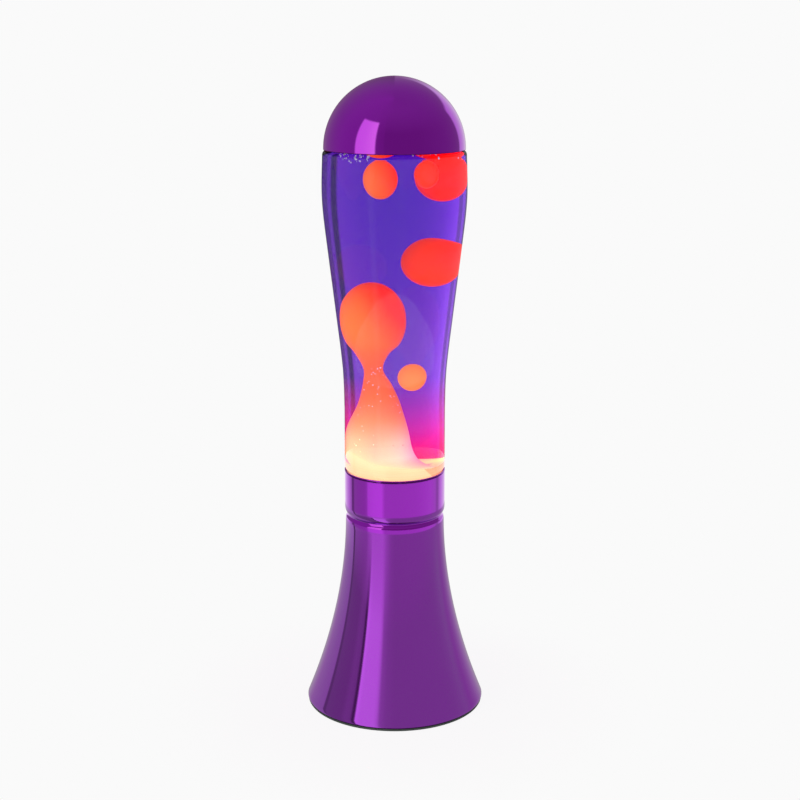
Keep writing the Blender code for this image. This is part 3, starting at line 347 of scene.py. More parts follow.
def use(nodes, tree, **values):
    placed = nodes.new("ShaderNodeGroup")
    placed.node_tree = tree
    for socket, value in values.items():
        placed.inputs[socket.replace("_", " ")].default_value = value
    return placed


def noise(tree, coordinates, scale, detail=3.0, roughness=0.5):
    made = tree.nodes.new("ShaderNodeTexNoise")
    made.inputs["Scale"].default_value = scale
    made.inputs["Detail"].default_value = detail
    made.inputs["Roughness"].default_value = roughness
    tree.links.new(coordinates, made.inputs["Vector"])
    return made.outputs["Fac"]


def math_node(tree, operation, first, second=None, clamp=False):
    made = tree.nodes.new("ShaderNodeMath")
    made.operation = operation
    made.use_clamp = clamp
    for socket, value in zip(made.inputs, (first, second)):
        if value is None:
            continue
        if isinstance(value, (int, float)):
            socket.default_value = value
        else:
            tree.links.new(value, socket)
    return made.outputs[0]


def rising(tree, value, start, span):
    """Nought up to the start and one from a span beyond it; a negative span counts downwards."""
    if span < 0:
        return math_node(tree, "MULTIPLY", math_node(tree, "SUBTRACT", start, value), -1 / span, True)
    return math_node(tree, "MULTIPLY", math_node(tree, "SUBTRACT", value, start), 1 / span, True)


def product(tree, first, *others):
    for other in others:
        first = math_node(tree, "MULTIPLY", first, other)
    return first


def coordinates_of(tree):
    """Object coordinates, whole and as their three parts."""
    whole = tree.nodes.new("ShaderNodeTexCoord").outputs["Object"]
    apart = tree.nodes.new("ShaderNodeSeparateXYZ")
    tree.links.new(whole, apart.inputs[0])
    return whole, apart.outputs["X"], apart.outputs["Y"], apart.outputs["Z"]


def ramp(tree, factor, stops, smooth=True):
    """A colour ramp; each stop is (position, colour), and a grey may be one number."""
    made = tree.nodes.new("ShaderNodeValToRGB")
    made.color_ramp.interpolation = "EASE" if smooth else "LINEAR"
    elements = made.color_ramp.elements
    while len(elements) < len(stops):
        elements.new(0.5)
    for element, (position, colour) in zip(elements, stops):
        element.position = position
        element.color = (colour, colour, colour, 1.0) if isinstance(colour, float) else (*colour, 1.0)
    tree.links.new(factor, made.inputs["Fac"])
    return made.outputs["Color"]


def blend_colours(tree, factor, first, second, kind="MIX"):
    made = tree.nodes.new("ShaderNodeMix")
    made.data_type = "RGBA"
    made.blend_type = kind
    for name, value in (("Factor", factor), ("A", first), ("B", second)):
        socket = made.inputs[name]
        if isinstance(value, (int, float)):
            socket.default_value = value
        elif isinstance(value, tuple):
            socket.default_value = (*value, 1.0)
        else:
            tree.links.new(value, socket)
    return made.outputs["Result"]


SPINNING_RINGS = 5200.0      # radians per metre, which makes a ring each 1.2 mm


def spun_metal_group():
    """Faint rings and ripples of a lacquered, spun sheet, with fingerprints and dust."""
    tree, source, sink = group(
        "spun_sheet",
        [("Roughness", FLOAT, 0.1), ("Smudge", FLOAT, 0.05), ("Ripple", FLOAT, 1.0)],
        [("Roughness", FLOAT), ("Height", FLOAT), ("Tone", FLOAT)],
    )
    coordinates, _, _, height = coordinates_of(tree)
    smudges = noise(tree, coordinates, 38.0, 4.0, 0.55)
    specks = noise(tree, coordinates, 900.0, 2.0)
    dulled = product(tree, math_node(tree, "SUBTRACT", smudges, 0.45, True), source.outputs["Smudge"])
    tree.links.new(math_node(tree, "ADD", dulled, source.outputs["Roughness"]), sink.inputs["Roughness"])
    rings = math_node(tree, "SINE", math_node(tree, "MULTIPLY", height, SPINNING_RINGS))
    ripples = math_node(tree, "ADD", math_node(tree, "MULTIPLY", rings, 0.12), specks)
    tree.links.new(math_node(tree, "MULTIPLY", ripples, source.outputs["Ripple"]), sink.inputs["Height"])
    tree.links.new(math_node(tree, "MULTIPLY", smudges, 0.2), sink.inputs["Tone"])
    return tree


SPUN = spun_metal_group()
PURPLE_LACQUER = (0.43, 0.018, 0.68)
SMUDGED_LACQUER = (0.37, 0.014, 0.60)


def purple_metal():
    finish, nodes, links, shader = new_finish("purple_lacquered_metal")
    sheet = use(nodes, SPUN, Roughness=0.06, Smudge=0.05, Ripple=1.0)
    colour = blend_colours(finish.node_tree, sheet.outputs["Tone"], PURPLE_LACQUER, SMUDGED_LACQUER)
    links.new(colour, shader.inputs["Base Color"])
    links.new(sheet.outputs["Roughness"], shader.inputs["Roughness"])
    bump = nodes.new("ShaderNodeBump")
    bump.inputs["Strength"].default_value = 0.02
    bump.inputs["Distance"].default_value = 0.02 * MM
    links.new(sheet.outputs["Height"], bump.inputs["Height"])
    links.new(bump.outputs["Normal"], shader.inputs["Normal"])
    shader.inputs["Metallic"].default_value = 1.0
    shader.inputs["Coat Weight"].default_value = 0.6
    shader.inputs["Coat Roughness"].default_value = 0.03
    return finish


def bottle_glass():
    finish, nodes, links, shader = new_finish("clear_bottle_glass")
    shader.inputs["Base Color"].default_value = (1, 1, 1, 1)
    shader.inputs["Transmission Weight"].default_value = 1.0
    shader.inputs["IOR"].default_value = 1.5
    shader.inputs["Roughness"].default_value = 0.0
    return finish


VIOLET_DYE = (0.527, 0.0, 0.885)
DYE_DENSITY = 60.0
WARM_HEIGHT = 60.0           # how far above the pool its warm light reaches, in mm
# Painted glow on the far wall: warm near the pool and gone higher up
WALL_GLOW = (
    (0.0, (5.4, 0.0, 0.05)), (0.12, (4.8, 0.0, 0.10)), (0.25, (3.4, 0.0, 0.22)), (0.42, (2.2, 0.0, 0.16)),
    (0.60, (1.1, 0.0, 0.06)), (0.9, (0.0, 0.0, 0.0)))
# Painted shade on the far wall: what shows through it is darker low down, near the pool
WALL_PAINTED_SHADE = (
    (0.0, (0.05, 0.0, 0.05)), (0.25, (0.12, 0.02, 0.15)), (0.55, (0.5, 0.4, 0.6)), (0.85, (1.0, 1.0, 1.0)))


def violet_liquid():
    """Violet dye takes the green and much of the red; a warm glow is painted on the far wall near the pool,
    where painted shade also darkens what shows through that wall.
    """
    finish, nodes, links, shader = new_finish("violet_dyed_liquid")
    tree = finish.node_tree
    shader.inputs["Base Color"].default_value = (1, 1, 1, 1)
    shader.inputs["Transmission Weight"].default_value = 1.0
    shader.inputs["IOR"].default_value = 1.34
    shader.inputs["Roughness"].default_value = 0.0
    dye = nodes.new("ShaderNodeVolumeAbsorption")
    dye.inputs["Color"].default_value = (*VIOLET_DYE, 1.0)
    dye.inputs["Density"].default_value = DYE_DENSITY
    links.new(dye.outputs["Volume"], nodes["Material Output"].inputs["Volume"])
    _, _, _, height = coordinates_of(tree)
    above_pool = rising(tree, height, POOL_TOP * MM, WARM_HEIGHT * MM)
    glow = ramp(tree, above_pool, WALL_GLOW, False)
    painted_shade = ramp(tree, above_pool, WALL_PAINTED_SHADE, False)
    # On the far wall only: painted glow in the emission and painted shade in the colour seen through it
    behind = nodes.new("ShaderNodeNewGeometry").outputs["Backfacing"]
    links.new(blend_colours(tree, behind, (0.0, 0.0, 0.0), glow), shader.inputs["Emission Color"])
    links.new(blend_colours(tree, behind, (1.0, 1.0, 1.0), painted_shade), shader.inputs["Base Color"])
    shader.inputs["Emission Strength"].default_value = 1.0
    return finish


def wax_group():
    """Two colours of glow across a piece of wax, with slow wisps between them."""
    tree, source, sink = group(
        "molten_wax",
        [("Share", FLOAT, 0.5), ("Wisps", FLOAT, 0.1), ("Near", COLOUR, (1, 0.5, 0.1, 1)),
         ("Far", COLOUR, (1, 0.1, 0.1, 1))],
        [("Glow", COLOUR), ("Share", FLOAT)],
    )
    coordinates = tree.nodes.new("ShaderNodeTexCoord").outputs["Object"]
    wisps = math_node(tree, "SUBTRACT", noise(tree, coordinates, 60.0, 2.0), 0.5)
    wisps = math_node(tree, "MULTIPLY", wisps, source.outputs["Wisps"])
    share = math_node(tree, "ADD", source.outputs["Share"], wisps, True)
    tree.links.new(share, sink.inputs["Share"])
    glow = blend_colours(tree, share, source.outputs["Near"], source.outputs["Far"])
    tree.links.new(glow, sink.inputs["Glow"])
    return tree


WAX = wax_group()


def wax_shader(name):
    finish, nodes, links, shader = new_finish(name)
    shader.inputs["Emission Strength"].default_value = 1.0
    shader.inputs["Base Color"].default_value = (0.6, 0.03, 0.01, 1.0)
    shader.inputs["Roughness"].default_value = 0.35
    return finish, nodes, links, shader


BLOB_MIDDLE = 0.45           # share of the far colour at a blob's middle, and its change per radius
BLOB_TURN_ACROSS = 0.5
BLOB_TURN_UP = 0.22


def floating_wax(name, centre, radii, near, far):
    """A free blob is more orange on its lower left, where the bulb and column light it."""
    finish, nodes, links, shader = wax_shader(name)
    tree = finish.node_tree
    _, x, _, z = coordinates_of(tree)
    across = math_node(tree, "SUBTRACT", x, centre[0] * MM)
    across = math_node(tree, "MULTIPLY", across, BLOB_TURN_ACROSS / (radii[0] * MM))
    up = math_node(tree, "SUBTRACT", z, centre[2] * MM)
    up = math_node(tree, "MULTIPLY", up, BLOB_TURN_UP / (radii[2] * MM))
    wax = use(nodes, WAX, Wisps=0.12, Near=(*near, 1.0), Far=(*far, 1.0))
    links.new(math_node(tree, "ADD", math_node(tree, "ADD", across, up), BLOB_MIDDLE), wax.inputs["Share"])
    links.new(wax.outputs["Glow"], shader.inputs["Emission Color"])
    return finish


COLUMN_FOOT = 155.0          # where the column's colours start and how far up they run, in mm
COLUMN_REACH = 140.0
COLUMN_GLOW = (
    (0.00, (1.00, 0.72, 0.34)),
    (0.08, (1.05, 0.74, 0.42)),
    (0.15, (1.25, 0.94, 0.52)),
    (0.22, (1.45, 0.98, 0.42)),
    (0.32, (1.60, 0.76, 0.17)),
    (0.42, (1.90, 0.60, 0.07)),
    (0.55, (2.20, 0.50, 0.035)),
    (0.75, (2.10, 0.40, 0.02)),
    (0.90, (2.20, 0.18, 0.01)),
    (1.00, (2.30, 0.03, 0.01)),
)
BUBBLE_MIDDLE = -11.0        # the painted glow of the bubble at the column's top reddens to its right of here
BUBBLE_REDDENING = 0.28
BUBBLE_WIDTH = 16.0
COLUMN_RIGHT_HIGHLIGHT = (1.1, 1.65, 1.4)   # a painted highlight makes the column's right flank paler, low down
POOL_DEPTH_GLOW = (
    (0.0, (0.95, 0.53, 0.36)), (0.33, (1.7, 1.6, 0.42)), (0.53, (2.4, 3.4, 0.46)), (0.9, (4.7, 12.0, 0.53)))
POOL_RADIUS = 30.7
POOL_WALL_GLOW = (1.0, 0.50, 0.27)
POOL_WALL_EDGE = 24.0        # the column's glow ends here on the pool's wall, nearer the axis higher up
POOL_WALL_SLOPE = 0.8


def glow_up_the_column(tree, nodes, x, z):
    """Painted glow: cream over the bulb, orange above it, and red at the bubble's far side, with a painted
    highlight low on the column's right flank.
    """
    height = rising(tree, z, COLUMN_FOOT * MM, COLUMN_REACH * MM)
    lean = math_node(tree, "SUBTRACT", x, BUBBLE_MIDDLE * MM)
    lean = math_node(tree, "MULTIPLY", lean, BUBBLE_REDDENING / (BUBBLE_WIDTH * MM))
    upper = math_node(tree, "MULTIPLY", math_node(tree, "SUBTRACT", height, 0.5), 2.6, True)
    wax = use(nodes, WAX, Wisps=0.035, Near=(0, 0, 0, 1), Far=(1, 1, 1, 1))
    tree.links.new(math_node(tree, "ADD", height, product(tree, lean, upper)), wax.inputs["Share"])
    glow = ramp(tree, wax.outputs["Share"], COLUMN_GLOW, False)
    # A painted highlight on the column's right flank, low down
    to_right = rising(tree, x, -12 * MM, 16 * MM)
    low = product(tree, rising(tree, z, 206 * MM, -20 * MM), rising(tree, z, 171 * MM, 6 * MM), to_right)
    return blend_colours(tree, 1.0, glow, blend_colours(tree, low, (1.0, 1.0, 1.0), COLUMN_RIGHT_HIGHLIGHT), "MULTIPLY")


def glow_of_the_pool(tree, y, chord_square):
    """The pool's level top brightens with the way to the glass at its front."""
    chord = math_node(tree, "SQRT", math_node(tree, "MAXIMUM", chord_square, 0.0))
    return ramp(tree, rising(tree, math_node(tree, "ADD", y, chord), 0.0, 60 * MM), POOL_DEPTH_GLOW, False)


def glowing_wax(name):
    """The wax over the bulb: the column, the pool's level top and the pool's wall beside the column."""
    finish, nodes, links, shader = wax_shader(name)
    tree = finish.node_tree
    _, x, y, z = coordinates_of(tree)
    glow = glow_up_the_column(tree, nodes, x, z)
    facing = nodes.new("ShaderNodeSeparateXYZ")
    links.new(nodes.new("ShaderNodeNewGeometry").outputs["Normal"], facing.inputs[0])
    flat = rising(tree, facing.outputs["Z"], 0.85, 0.1)
    in_pool = rising(tree, z, (POOL_TOP + 1.2) * MM, -MM)
    x_square = math_node(tree, "POWER", math_node(tree, "ABSOLUTE", x), 2.0)
    surface = glow_of_the_pool(tree, y, math_node(tree, "SUBTRACT", (POOL_RADIUS * MM) ** 2, x_square))
    behind = rising(tree, y, -15 * MM, 8 * MM)
    beside = rising(tree, x, 3 * MM, 6 * MM)
    glow = blend_colours(tree, product(tree, flat, in_pool, behind, beside), glow, surface)
    climb = math_node(tree, "SUBTRACT", z, COLLAR_TOP * MM)
    climb = math_node(tree, "MULTIPLY", climb, POOL_WALL_SLOPE)
    edge = math_node(tree, "SUBTRACT", POOL_WALL_EDGE * MM, climb)
    side = rising(tree, x, edge, 0.6 * MM)
    upright = math_node(tree, "SUBTRACT", 1.0, flat, True)
    glow = blend_colours(tree, product(tree, side, upright, in_pool), glow, POOL_WALL_GLOW)
    links.new(glow, shader.inputs["Emission Color"])
    return finish


def grain_group():
    """Fine grain, blotches and dust for the plain parts."""
    tree, source, sink = group(
        "fine_grain",
        [("Scale", FLOAT, 400.0), ("Colour", COLOUR, (0.5, 0.5, 0.5, 1.0)),
         ("Dirt", COLOUR, (0.1, 0.1, 0.1, 1.0)), ("Dirt Amount", FLOAT, 0.3), ("Roughness", FLOAT, 0.4)],
        [("Colour", COLOUR), ("Roughness", FLOAT), ("Height", FLOAT)],
    )
    coordinates = tree.nodes.new("ShaderNodeTexCoord").outputs["Object"]
    fine = tree.nodes.new("ShaderNodeTexNoise")
    tree.links.new(coordinates, fine.inputs["Vector"])
    tree.links.new(source.outputs["Scale"], fine.inputs["Scale"])
    blotches = noise(tree, coordinates, 70.0, 4.0, 0.6)
    amount = product(tree, math_node(tree, "SUBTRACT", blotches, 0.35, True), source.outputs["Dirt Amount"])
    colour = blend_colours(tree, amount, source.outputs["Colour"], source.outputs["Dirt"])
    tree.links.new(colour, sink.inputs["Colour"])
    rough = math_node(tree, "ADD", source.outputs["Roughness"], math_node(tree, "MULTIPLY", blotches, 0.15))
    tree.links.new(rough, sink.inputs["Roughness"])
    tree.links.new(fine.outputs["Fac"], sink.inputs["Height"])
    return tree


GRAIN = grain_group()


def grained(name, colour, dirt, roughness, metallic=0.0, scale=400.0, bump_height=0.05, dirt_amount=0.3):
    finish, nodes, links, shader = new_finish(name)
    grain = use(nodes, GRAIN, Scale=scale, Colour=(*colour, 1.0), Dirt=(*dirt, 1.0), Dirt_Amount=dirt_amount,
                Roughness=roughness)
    links.new(grain.outputs["Colour"], shader.inputs["Base Color"])
    links.new(grain.outputs["Roughness"], shader.inputs["Roughness"])
    bump = nodes.new("ShaderNodeBump")
    bump.inputs["Strength"].default_value = 0.4
    bump.inputs["Distance"].default_value = bump_height * MM
    links.new(grain.outputs["Height"], bump.inputs["Height"])
    links.new(bump.outputs["Normal"], shader.inputs["Normal"])
    shader.inputs["Metallic"].default_value = metallic
    return finish


def lit_bead(name, colour, glow, roughness):
    """A tiny bead that catches the lamp's light on one side."""
    finish, nodes, links, shader = new_finish(name)
    tree = finish.node_tree
    coordinates = nodes.new("ShaderNodeTexCoord").outputs["Object"]
    patches = ramp(tree, noise(tree, coordinates, 700.0, 2.0), [(0.35, 0.35), (0.6, 1.0)])
    links.new(blend_colours(tree, 1.0, patches, glow, "MULTIPLY"), shader.inputs["Emission Color"])
    shader.inputs["Emission Strength"].default_value = 1.0
    shader.inputs["Base Color"].default_value = (*colour, 1.0)
    shader.inputs["Roughness"].default_value = roughness
    return finish


PURPLE = purple_metal()
RUBBER = grained("black_rubber", (0.05, 0.05, 0.06), (0.09, 0.09, 0.10), 0.55, scale=1500.0)
GLASS = bottle_glass()
LIQUID = violet_liquid()
AIR = lit_bead("air_bubble", (0.75, 0.72, 0.95), (0.26, 0.20, 0.42), 0.15)
SPECK = lit_bead("wax_speck", (0.8, 0.3, 0.1), (3.0, 1.9, 0.9), 0.3)
# slot: name, colour, dirt, roughness, metallic, scale of the grain, height of the grain
PLAIN_FINISHES = {
    "black_steel": ("black_painted_steel", (0.02, 0.02, 0.023), (0.06, 0.055, 0.05), 0.38, 0.0, 900.0),
    "zinc_steel": ("zinc_plated_steel", (0.55, 0.56, 0.58), (0.35, 0.34, 0.3), 0.28, 1.0, 700.0, 0.02),
    "brass": ("drawn_brass", (0.72, 0.52, 0.22), (0.4, 0.25, 0.1), 0.25, 1.0, 600.0, 0.02),
    "ceramic": ("glazed_ceramic", (0.80, 0.78, 0.72), (0.5, 0.46, 0.4), 0.3, 0.0, 300.0),
    "black_plastic": ("black_moulded_plastic", (0.02, 0.02, 0.022), (0.06, 0.06, 0.06), 0.35, 0.0, 1200.0),
    "white_plastic": ("white_moulded_plastic", (0.78, 0.78, 0.75), (0.55, 0.52, 0.47), 0.4, 0.0, 1200.0),
    "silicone": ("pale_silicone", (0.62, 0.61, 0.59), (0.4, 0.38, 0.36), 0.5, 0.0, 1000.0),
    "brown_lead": ("brown_lead_cover", (0.16, 0.06, 0.025), (0.08, 0.03, 0.01), 0.4, 0.0, 1500.0),
    "blue_lead": ("blue_lead_cover", (0.02, 0.09, 0.45), (0.01, 0.04, 0.2), 0.4, 0.0, 1500.0),
    "green_lead": ("green_lead_cover", (0.2, 0.5, 0.04), (0.5, 0.45, 0.02), 0.4, 0.0, 1500.0),
    "bulb_glass": ("frosted_bulb_glass", (0.86, 0.85, 0.82), (0.6, 0.58, 0.55), 0.25, 0.0, 500.0),
    "tungsten": ("tungsten_wire", (0.2, 0.19, 0.18), (0.1, 0.1, 0.1), 0.4, 1.0, 2000.0),
    "black_glass": ("black_glass_insulator", (0.01, 0.01, 0.012), (0.03, 0.03, 0.03), 0.08, 0.0, 300.0),
    "plated_steel": ("nickel_plated_steel", (0.66, 0.65, 0.62), (0.4, 0.37, 0.32), 0.2, 1.0, 700.0, 0.02),
}
FINISHES = {slot: grained(*values) for slot, values in PLAIN_FINISHES.items()}
FINISHES["black_rubber"] = RUBBER


# ---------------------------------------------------------------- pieces

def make_base():
    shell = turned("base_shell_fine", base_outline(), 160, wall=SHEET)
    start_clean()
    place = (0.0, trumpet_radius(INLET_HEIGHT) * MM, INLET_HEIGHT * MM)
    bpy.ops.mesh.primitive_cylinder_add(
        vertices=48, radius=INLET_RADIUS * MM, depth=20 * MM, location=place,
        rotation=(math.radians(INLET_TILT - 90), 0.0, 0.0))
    cut_with(shell, bpy.context.object, "DIFFERENCE")
    fit_in(shell, "base", "purple_metal", PURPLE, "base_shell")
    trim = turned("base_edge_rubber", EDGE_OUTLINE, 160, closed=True)
    fit_in(trim, "base", "black_rubber", RUBBER, "base_edge_trim")


def make_cap():
    outline = arc((0.0, CAP_RIM + 0.5), (CAP_RADIUS, CAP_APEX - CAP_RIM - 0.5), 90, 0, 48)
    outline[0] = (0.0, CAP_APEX)
    outline += arc((CAP_RADIUS - 0.2, CAP_RIM + 0.2), (0.2, 0.2), 0, -90, 4)
    cap = turned("cap_dome", outline, 160, wall=CAP_WALL)
    fit_in(cap, "cap", "purple_metal", PURPLE, "cap_shell")


def make_bottle():
    body = bottle_body()
    neck = [(LIP_RADIUS, LIP_Z), (LIP_RADIUS, LIP_Z - 4.0), (NECK_RADIUS, LIP_Z - 4.9)]
    neck += flowing([neck[-1], *NECK_CURVE, body[0]], 5)[1:-1]
    outside = neck + body
    inside = [(MOUTH_RADIUS, LIP_Z), (MOUTH_RADIUS, LIP_Z - 8.0)]
    inside += [point for point in inside_of(outside, GLASS_WALL) if point[1] < LIP_Z - 8.5]
    bottle = turned("bottle_glass", outside + inside[::-1] + outside[:1], 160)
    fit_in(bottle, "bottle", "clear_glass", GLASS, "glass_bottle")


def make_cork():
    """A pressed crown cork: a shallow lid whose skirt is folded into flutes."""
    outline = [(0.0, CORK_TOP), (CORK_RADIUS - 3.4, CORK_TOP)]
    outline += arc((CORK_RADIUS - 3.0, CORK_TOP - 2.0), (2.1, 2.0), 85, 10, 8)
    outline += flowing([
        (CORK_RADIUS - 0.86, CORK_TOP - 2.4), (CORK_RADIUS - 0.62, CORK_RIM + 2.2),
        (CORK_RADIUS - 0.35, CORK_RIM + 1.0), (CORK_RADIUS, CORK_RIM + 0.05)], 3)
    cork = turned("crown_cork_fluted", outline, CORK_FLUTES * 12)
    for level, pull in CORK_FOLDS:
        bpy.ops.object.mode_set(mode="EDIT")
        bpy.ops.mesh.select_all(action="DESELECT")
        bpy.ops.object.mode_set(mode="OBJECT")
        for vertex in cork.data.vertices:
            turn = math.atan2(vertex.co.y, vertex.co.x)
            vertex.select = vertex.co.z < level * MM and math.cos(CORK_FLUTES * turn) < -0.1
        bpy.ops.object.mode_set(mode="EDIT")
        bpy.ops.transform.resize(value=(pull, pull, 1.0), center_override=(0, 0, 0))
        bpy.ops.object.mode_set(mode="OBJECT")
    give_wall(cork, CORK_WALL, 70, even=False)
    fit_in(cork, "bottle", "plated_steel", FINISHES["plated_steel"], "crown_cork")


def make_liquid():
    wall = clipped(inside_of(bottle_body(), GLASS_WALL - WET), POOL_TOP - 0.2, LIQUID_TOP)
    radius = wall[0][0]
    top = [(0.0, LIQUID_TOP - 0.5), (radius - 2.0, LIQUID_TOP - 0.5), (radius - 0.8, LIQUID_TOP - 0.35)]
    outline = top + wall + [(wall[-1][0] - 1.0, POOL_TOP - 0.8), (0.0, POOL_TOP - 0.8)]
    liquid = turned("violet_liquid_body", outline, 144)
    fit_in(liquid, "bottle", "violet_liquid", LIQUID, "liquid")


# height above the table, offset to the left, offset to the front, radius, up the column
COLUMN = (
    (168.9, 2.0, 20.0, 25.5),
    (170.6, 5.5, 13.5, 23.0),
    (174.0, 9.5, 6.5, 21.3),
    (181.0, 10.0, 4.0, 18.7),
    (191.5, 9.2, 2.6, 16.1),
    (204.5, 7.9, 1.2, 11.9),
    (213.0, 7.7, 0.4, 9.6),
    (223.4, 8.6, 0.0, 7.0),
    (233.7, 10.5, 0.0, 4.8),
    (244.0, 11.3, 0.0, 8.4),
    (250.6, 11.0, 0.0, 13.2),
    (259.0, 10.9, 0.0, 15.9),
    (268.1, 10.9, 0.0, 16.4),
    (277.2, 10.9, 0.0, 15.0),
    (285.2, 10.9, 0.0, 11.0),
    (289.8, 10.9, 0.0, 6.2),
    (291.6, 10.9, 0.0, 1.6),
)


SQUASHED = (((1.0, 0.1, 0.05), (0.30, 0.0, 0.02), 1.0), ((0.35, 0.0, 0.95), (0.0, 0.0, -0.06), 0.8))
# node, middle, radii, soft moves, colour at the lower left and at the upper right
BLOBS = (
    ("wax_blob_1", (-7.0, -4.0, 356.4), (8.6, 8.6, 12.0), (), (2.6, 1.05, 0.03), (3.0, 0.03, 0.0)),
    ("wax_blob_2", (22.6, 6.0, 356.9), (13.4, 13.4, 14.8), (), (2.8, 0.02, 0.0), (3.0, 0.0, 0.0)),
    ("wax_blob_3", (18.0, -23.5, 361.0), (7.3, 7.3, 8.6), (), (1.5, 0.06, 0.0), (1.5, 0.02, 0.0)),
    ("wax_blob_4", (18.2, 6.0, 304.2), (15.4, 15.4, 16.2), SQUASHED, (2.6, 0.20, 0.0), (2.5, 0.0, 0.0)),
    ("wax_blob_5", (9.8, -14.0, 229.8), (8.2, 8.2, 9.1), (), (1.4, 0.50, 0.07), (1.4, 0.34, 0.05)),
)


def keep_inside(wax):
    """Wax that spreads past the glass is cut off flat along it."""
    bore = clipped(inside_of(bottle_body(), GLASS_WALL - WET - 0.03), FOOT_Z + 1.0, LIQUID_TOP)
    cut_with(wax, turned("bore", [(0.0, LIQUID_TOP), *bore, (0.0, bore[-1][1])], 128), "INTERSECT")


def make_wax():
    bore = inside_of(bottle_body(), GLASS_WALL - WET)
    pool = clipped(bore, FOOT_Z + GLASS_WALL + 0.6, POOL_TOP - 0.3)[::-1]
    sections = [(0.0, 0.0, z, radius) for radius, z in pool]
    sections += [(0.0, 0.0, POOL_TOP - 0.15, pool[-1][0] - 0.5), (-0.6, -4.0, POOL_TOP - 0.1, 28.5)]
    column = [(-left, -front, z, radius) for z, left, front, radius in COLUMN]
    sections += flowing(column, 6)
    wax = skinned("wax_pool_and_column", sections, 128)
    keep_inside(wax)
    fit_in(wax, "bottle", "red_wax", glowing_wax("wax_over_the_bulb"), "wax_column")
    for index, (node, centre, radii, shape, near, far) in enumerate(BLOBS):
        blob = droplet(node + "_soft", centre, radii, shape)
        body = node.replace("wax_", "")
        finish = floating_wax(f"floating_wax_{index + 1}", centre, radii, near, far)
        fit_in(blob, body, "red_wax", finish, node)


def scattered(name, places, across):
    """Small round beads at places in mm, in one piece at the origin; each gets its own size."""
    start_clean()
    for index, (place, size) in enumerate(zip(places, across)):
        where = tuple(value * MM for value in place)
        start = where if index else (0, 0, 0)
        bpy.ops.mesh.primitive_ico_sphere_add(subdivisions=2, radius=size / 2 * MM, location=start)
        if not index:
            bpy.ops.object.mode_set(mode="EDIT")
            bpy.ops.mesh.select_all(action="SELECT")
            bpy.ops.transform.translate(value=where)
    return settle(name, 180)


def make_bubbles():
    """Air caught under the shoulder, most of it on the left, and specks on the face of the column."""
    chance = random.Random(7)
    places, across = [], []
    for index in range(64):
        bearing = math.radians(chance.uniform(-52, -17) if index < 48 else chance.uniform(-5, 75))
        z = LIQUID_TOP - 2.2 - abs(chance.gauss(0.0, 1.5))
        reach = bore_radius(z) - 0.75
        places.append((reach * math.sin(bearing), -reach * math.cos(bearing), z))
        across.append(chance.uniform(0.5, 1.2))
    air = scattered("air_under_the_shoulder", places, across)
    fit_in(air, "bottle", "violet_liquid", AIR)
    places, across = [], []
    for _ in range(46):
        z = chance.uniform(176.0, 236.0)
        low, high = next((a, b) for a, b in zip(COLUMN, COLUMN[1:]) if a[0] <= z <= b[0])
        share = (z - low[0]) / (high[0] - low[0])
        left, front, radius = (low[i] + (high[i] - low[i]) * share for i in (1, 2, 3))
        bearing = math.radians(chance.uniform(-70, 70))
        places.append((-left + radius * math.sin(bearing), -front - radius * math.cos(bearing), z))
        across.append(chance.uniform(0.4, 1.0))
    specks = scattered("specks_on_the_column", places, across)
    fit_in(specks, "bottle", "red_wax", SPECK)


def finish_cad_nodes():
    """Every part of the frame that still shows gets the finish of its slot."""
    for name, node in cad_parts.items():
        if node.hide_render:
            continue
        for slot in node.material_slots:
            finish = FINISHES.get(slot.material.name.split(".")[0]) if slot.material else None
            slot.material = finish or FINISHES["zinc_steel"]


make_base()
make_cap()
make_bottle()
make_cork()
make_liquid()
make_wax()
make_bubbles()
finish_cad_nodes()


# ---------------------------------------------------------------- studio

BACKDROP = 0.956
FLOOR_RADIUS = 0.7
FLOOR_PAINT = 0.12
FLOOR_GLOW = 0.905

# The reflector ring: small enough for the glass to see over it and the base to fill itself with it
RING_RADIUS = 0.16
RING_DEPTH = 0.245
RING_MIDDLE = 0.003
WIDENS_BELOW = 0.088         # the panels' bearings spread from here down, as the trumpet flares
WIDENING = 1.9
CREST_START, CREST_SPAN = 0.070, 0.018
COLLAR_START, COLLAR_SPAN = 0.093, 0.002

# Bearing in degrees from the front, positive to the right, and brightness
SKIRT_PANELS = (
    (-180, 0.40), (-165, 0.46), (-140, 0.46), (-103, 0.46), (-101, 0.18), (-97, 0.20), (-95, 0.27),
    (-69, 0.27), (-62, 0.32), (-55, 0.30), (-52.5, 0.10), (-49.5, 0.10), (-48, 1.15), (-43, 1.0),
    (-25, 0.98), (-21.5, 0.85), (-18, 0.48), (-11, 0.39), (0, 0.36), (80, 0.37), (101, 0.39),
    (115, 0.40), (130, 0.42), (140, 0.45), (165, 0.46), (180, 0.40))
CREST_PANELS = (
    (-180, 0.45), (-165, 0.70), (-140, 0.70), (-103, 0.60), (-101, 0.10), (-98, 0.10), (-96, 0.48),
    (-62, 0.46), (-57, 0.60), (-50, 0.76), (-25, 0.79), (-17, 0.60), (-8, 0.44), (0, 0.40), (80, 0.42),
    (115, 0.42), (140, 0.60), (165, 0.60), (180, 0.45))
COLLAR_PANELS = (
    (-180, 0.60), (-165, 1.0), (-140, 1.0), (-118, 0.80), (-108, 0.60), (-105, 0.22), (-100, 0.25),
    (-96, 0.45), (-67, 0.50), (-61, 0.56), (-57, 0.88), (-43, 0.97), (-27, 1.0), (-24, 0.84),
    (-20, 0.67), (0, 0.66), (43, 0.69), (81, 0.78), (97, 0.70), (103, 0.50), (108, 0.52), (113, 0.80),
    (125, 0.95), (165, 1.0), (180, 0.60))
SKIRT_GREEN, CREST_GREEN, COLLAR_GREEN, GRAZING_GREEN = 1.8, 1.6, 1.0, 0.9
GRAZING = 112                # degrees from the front

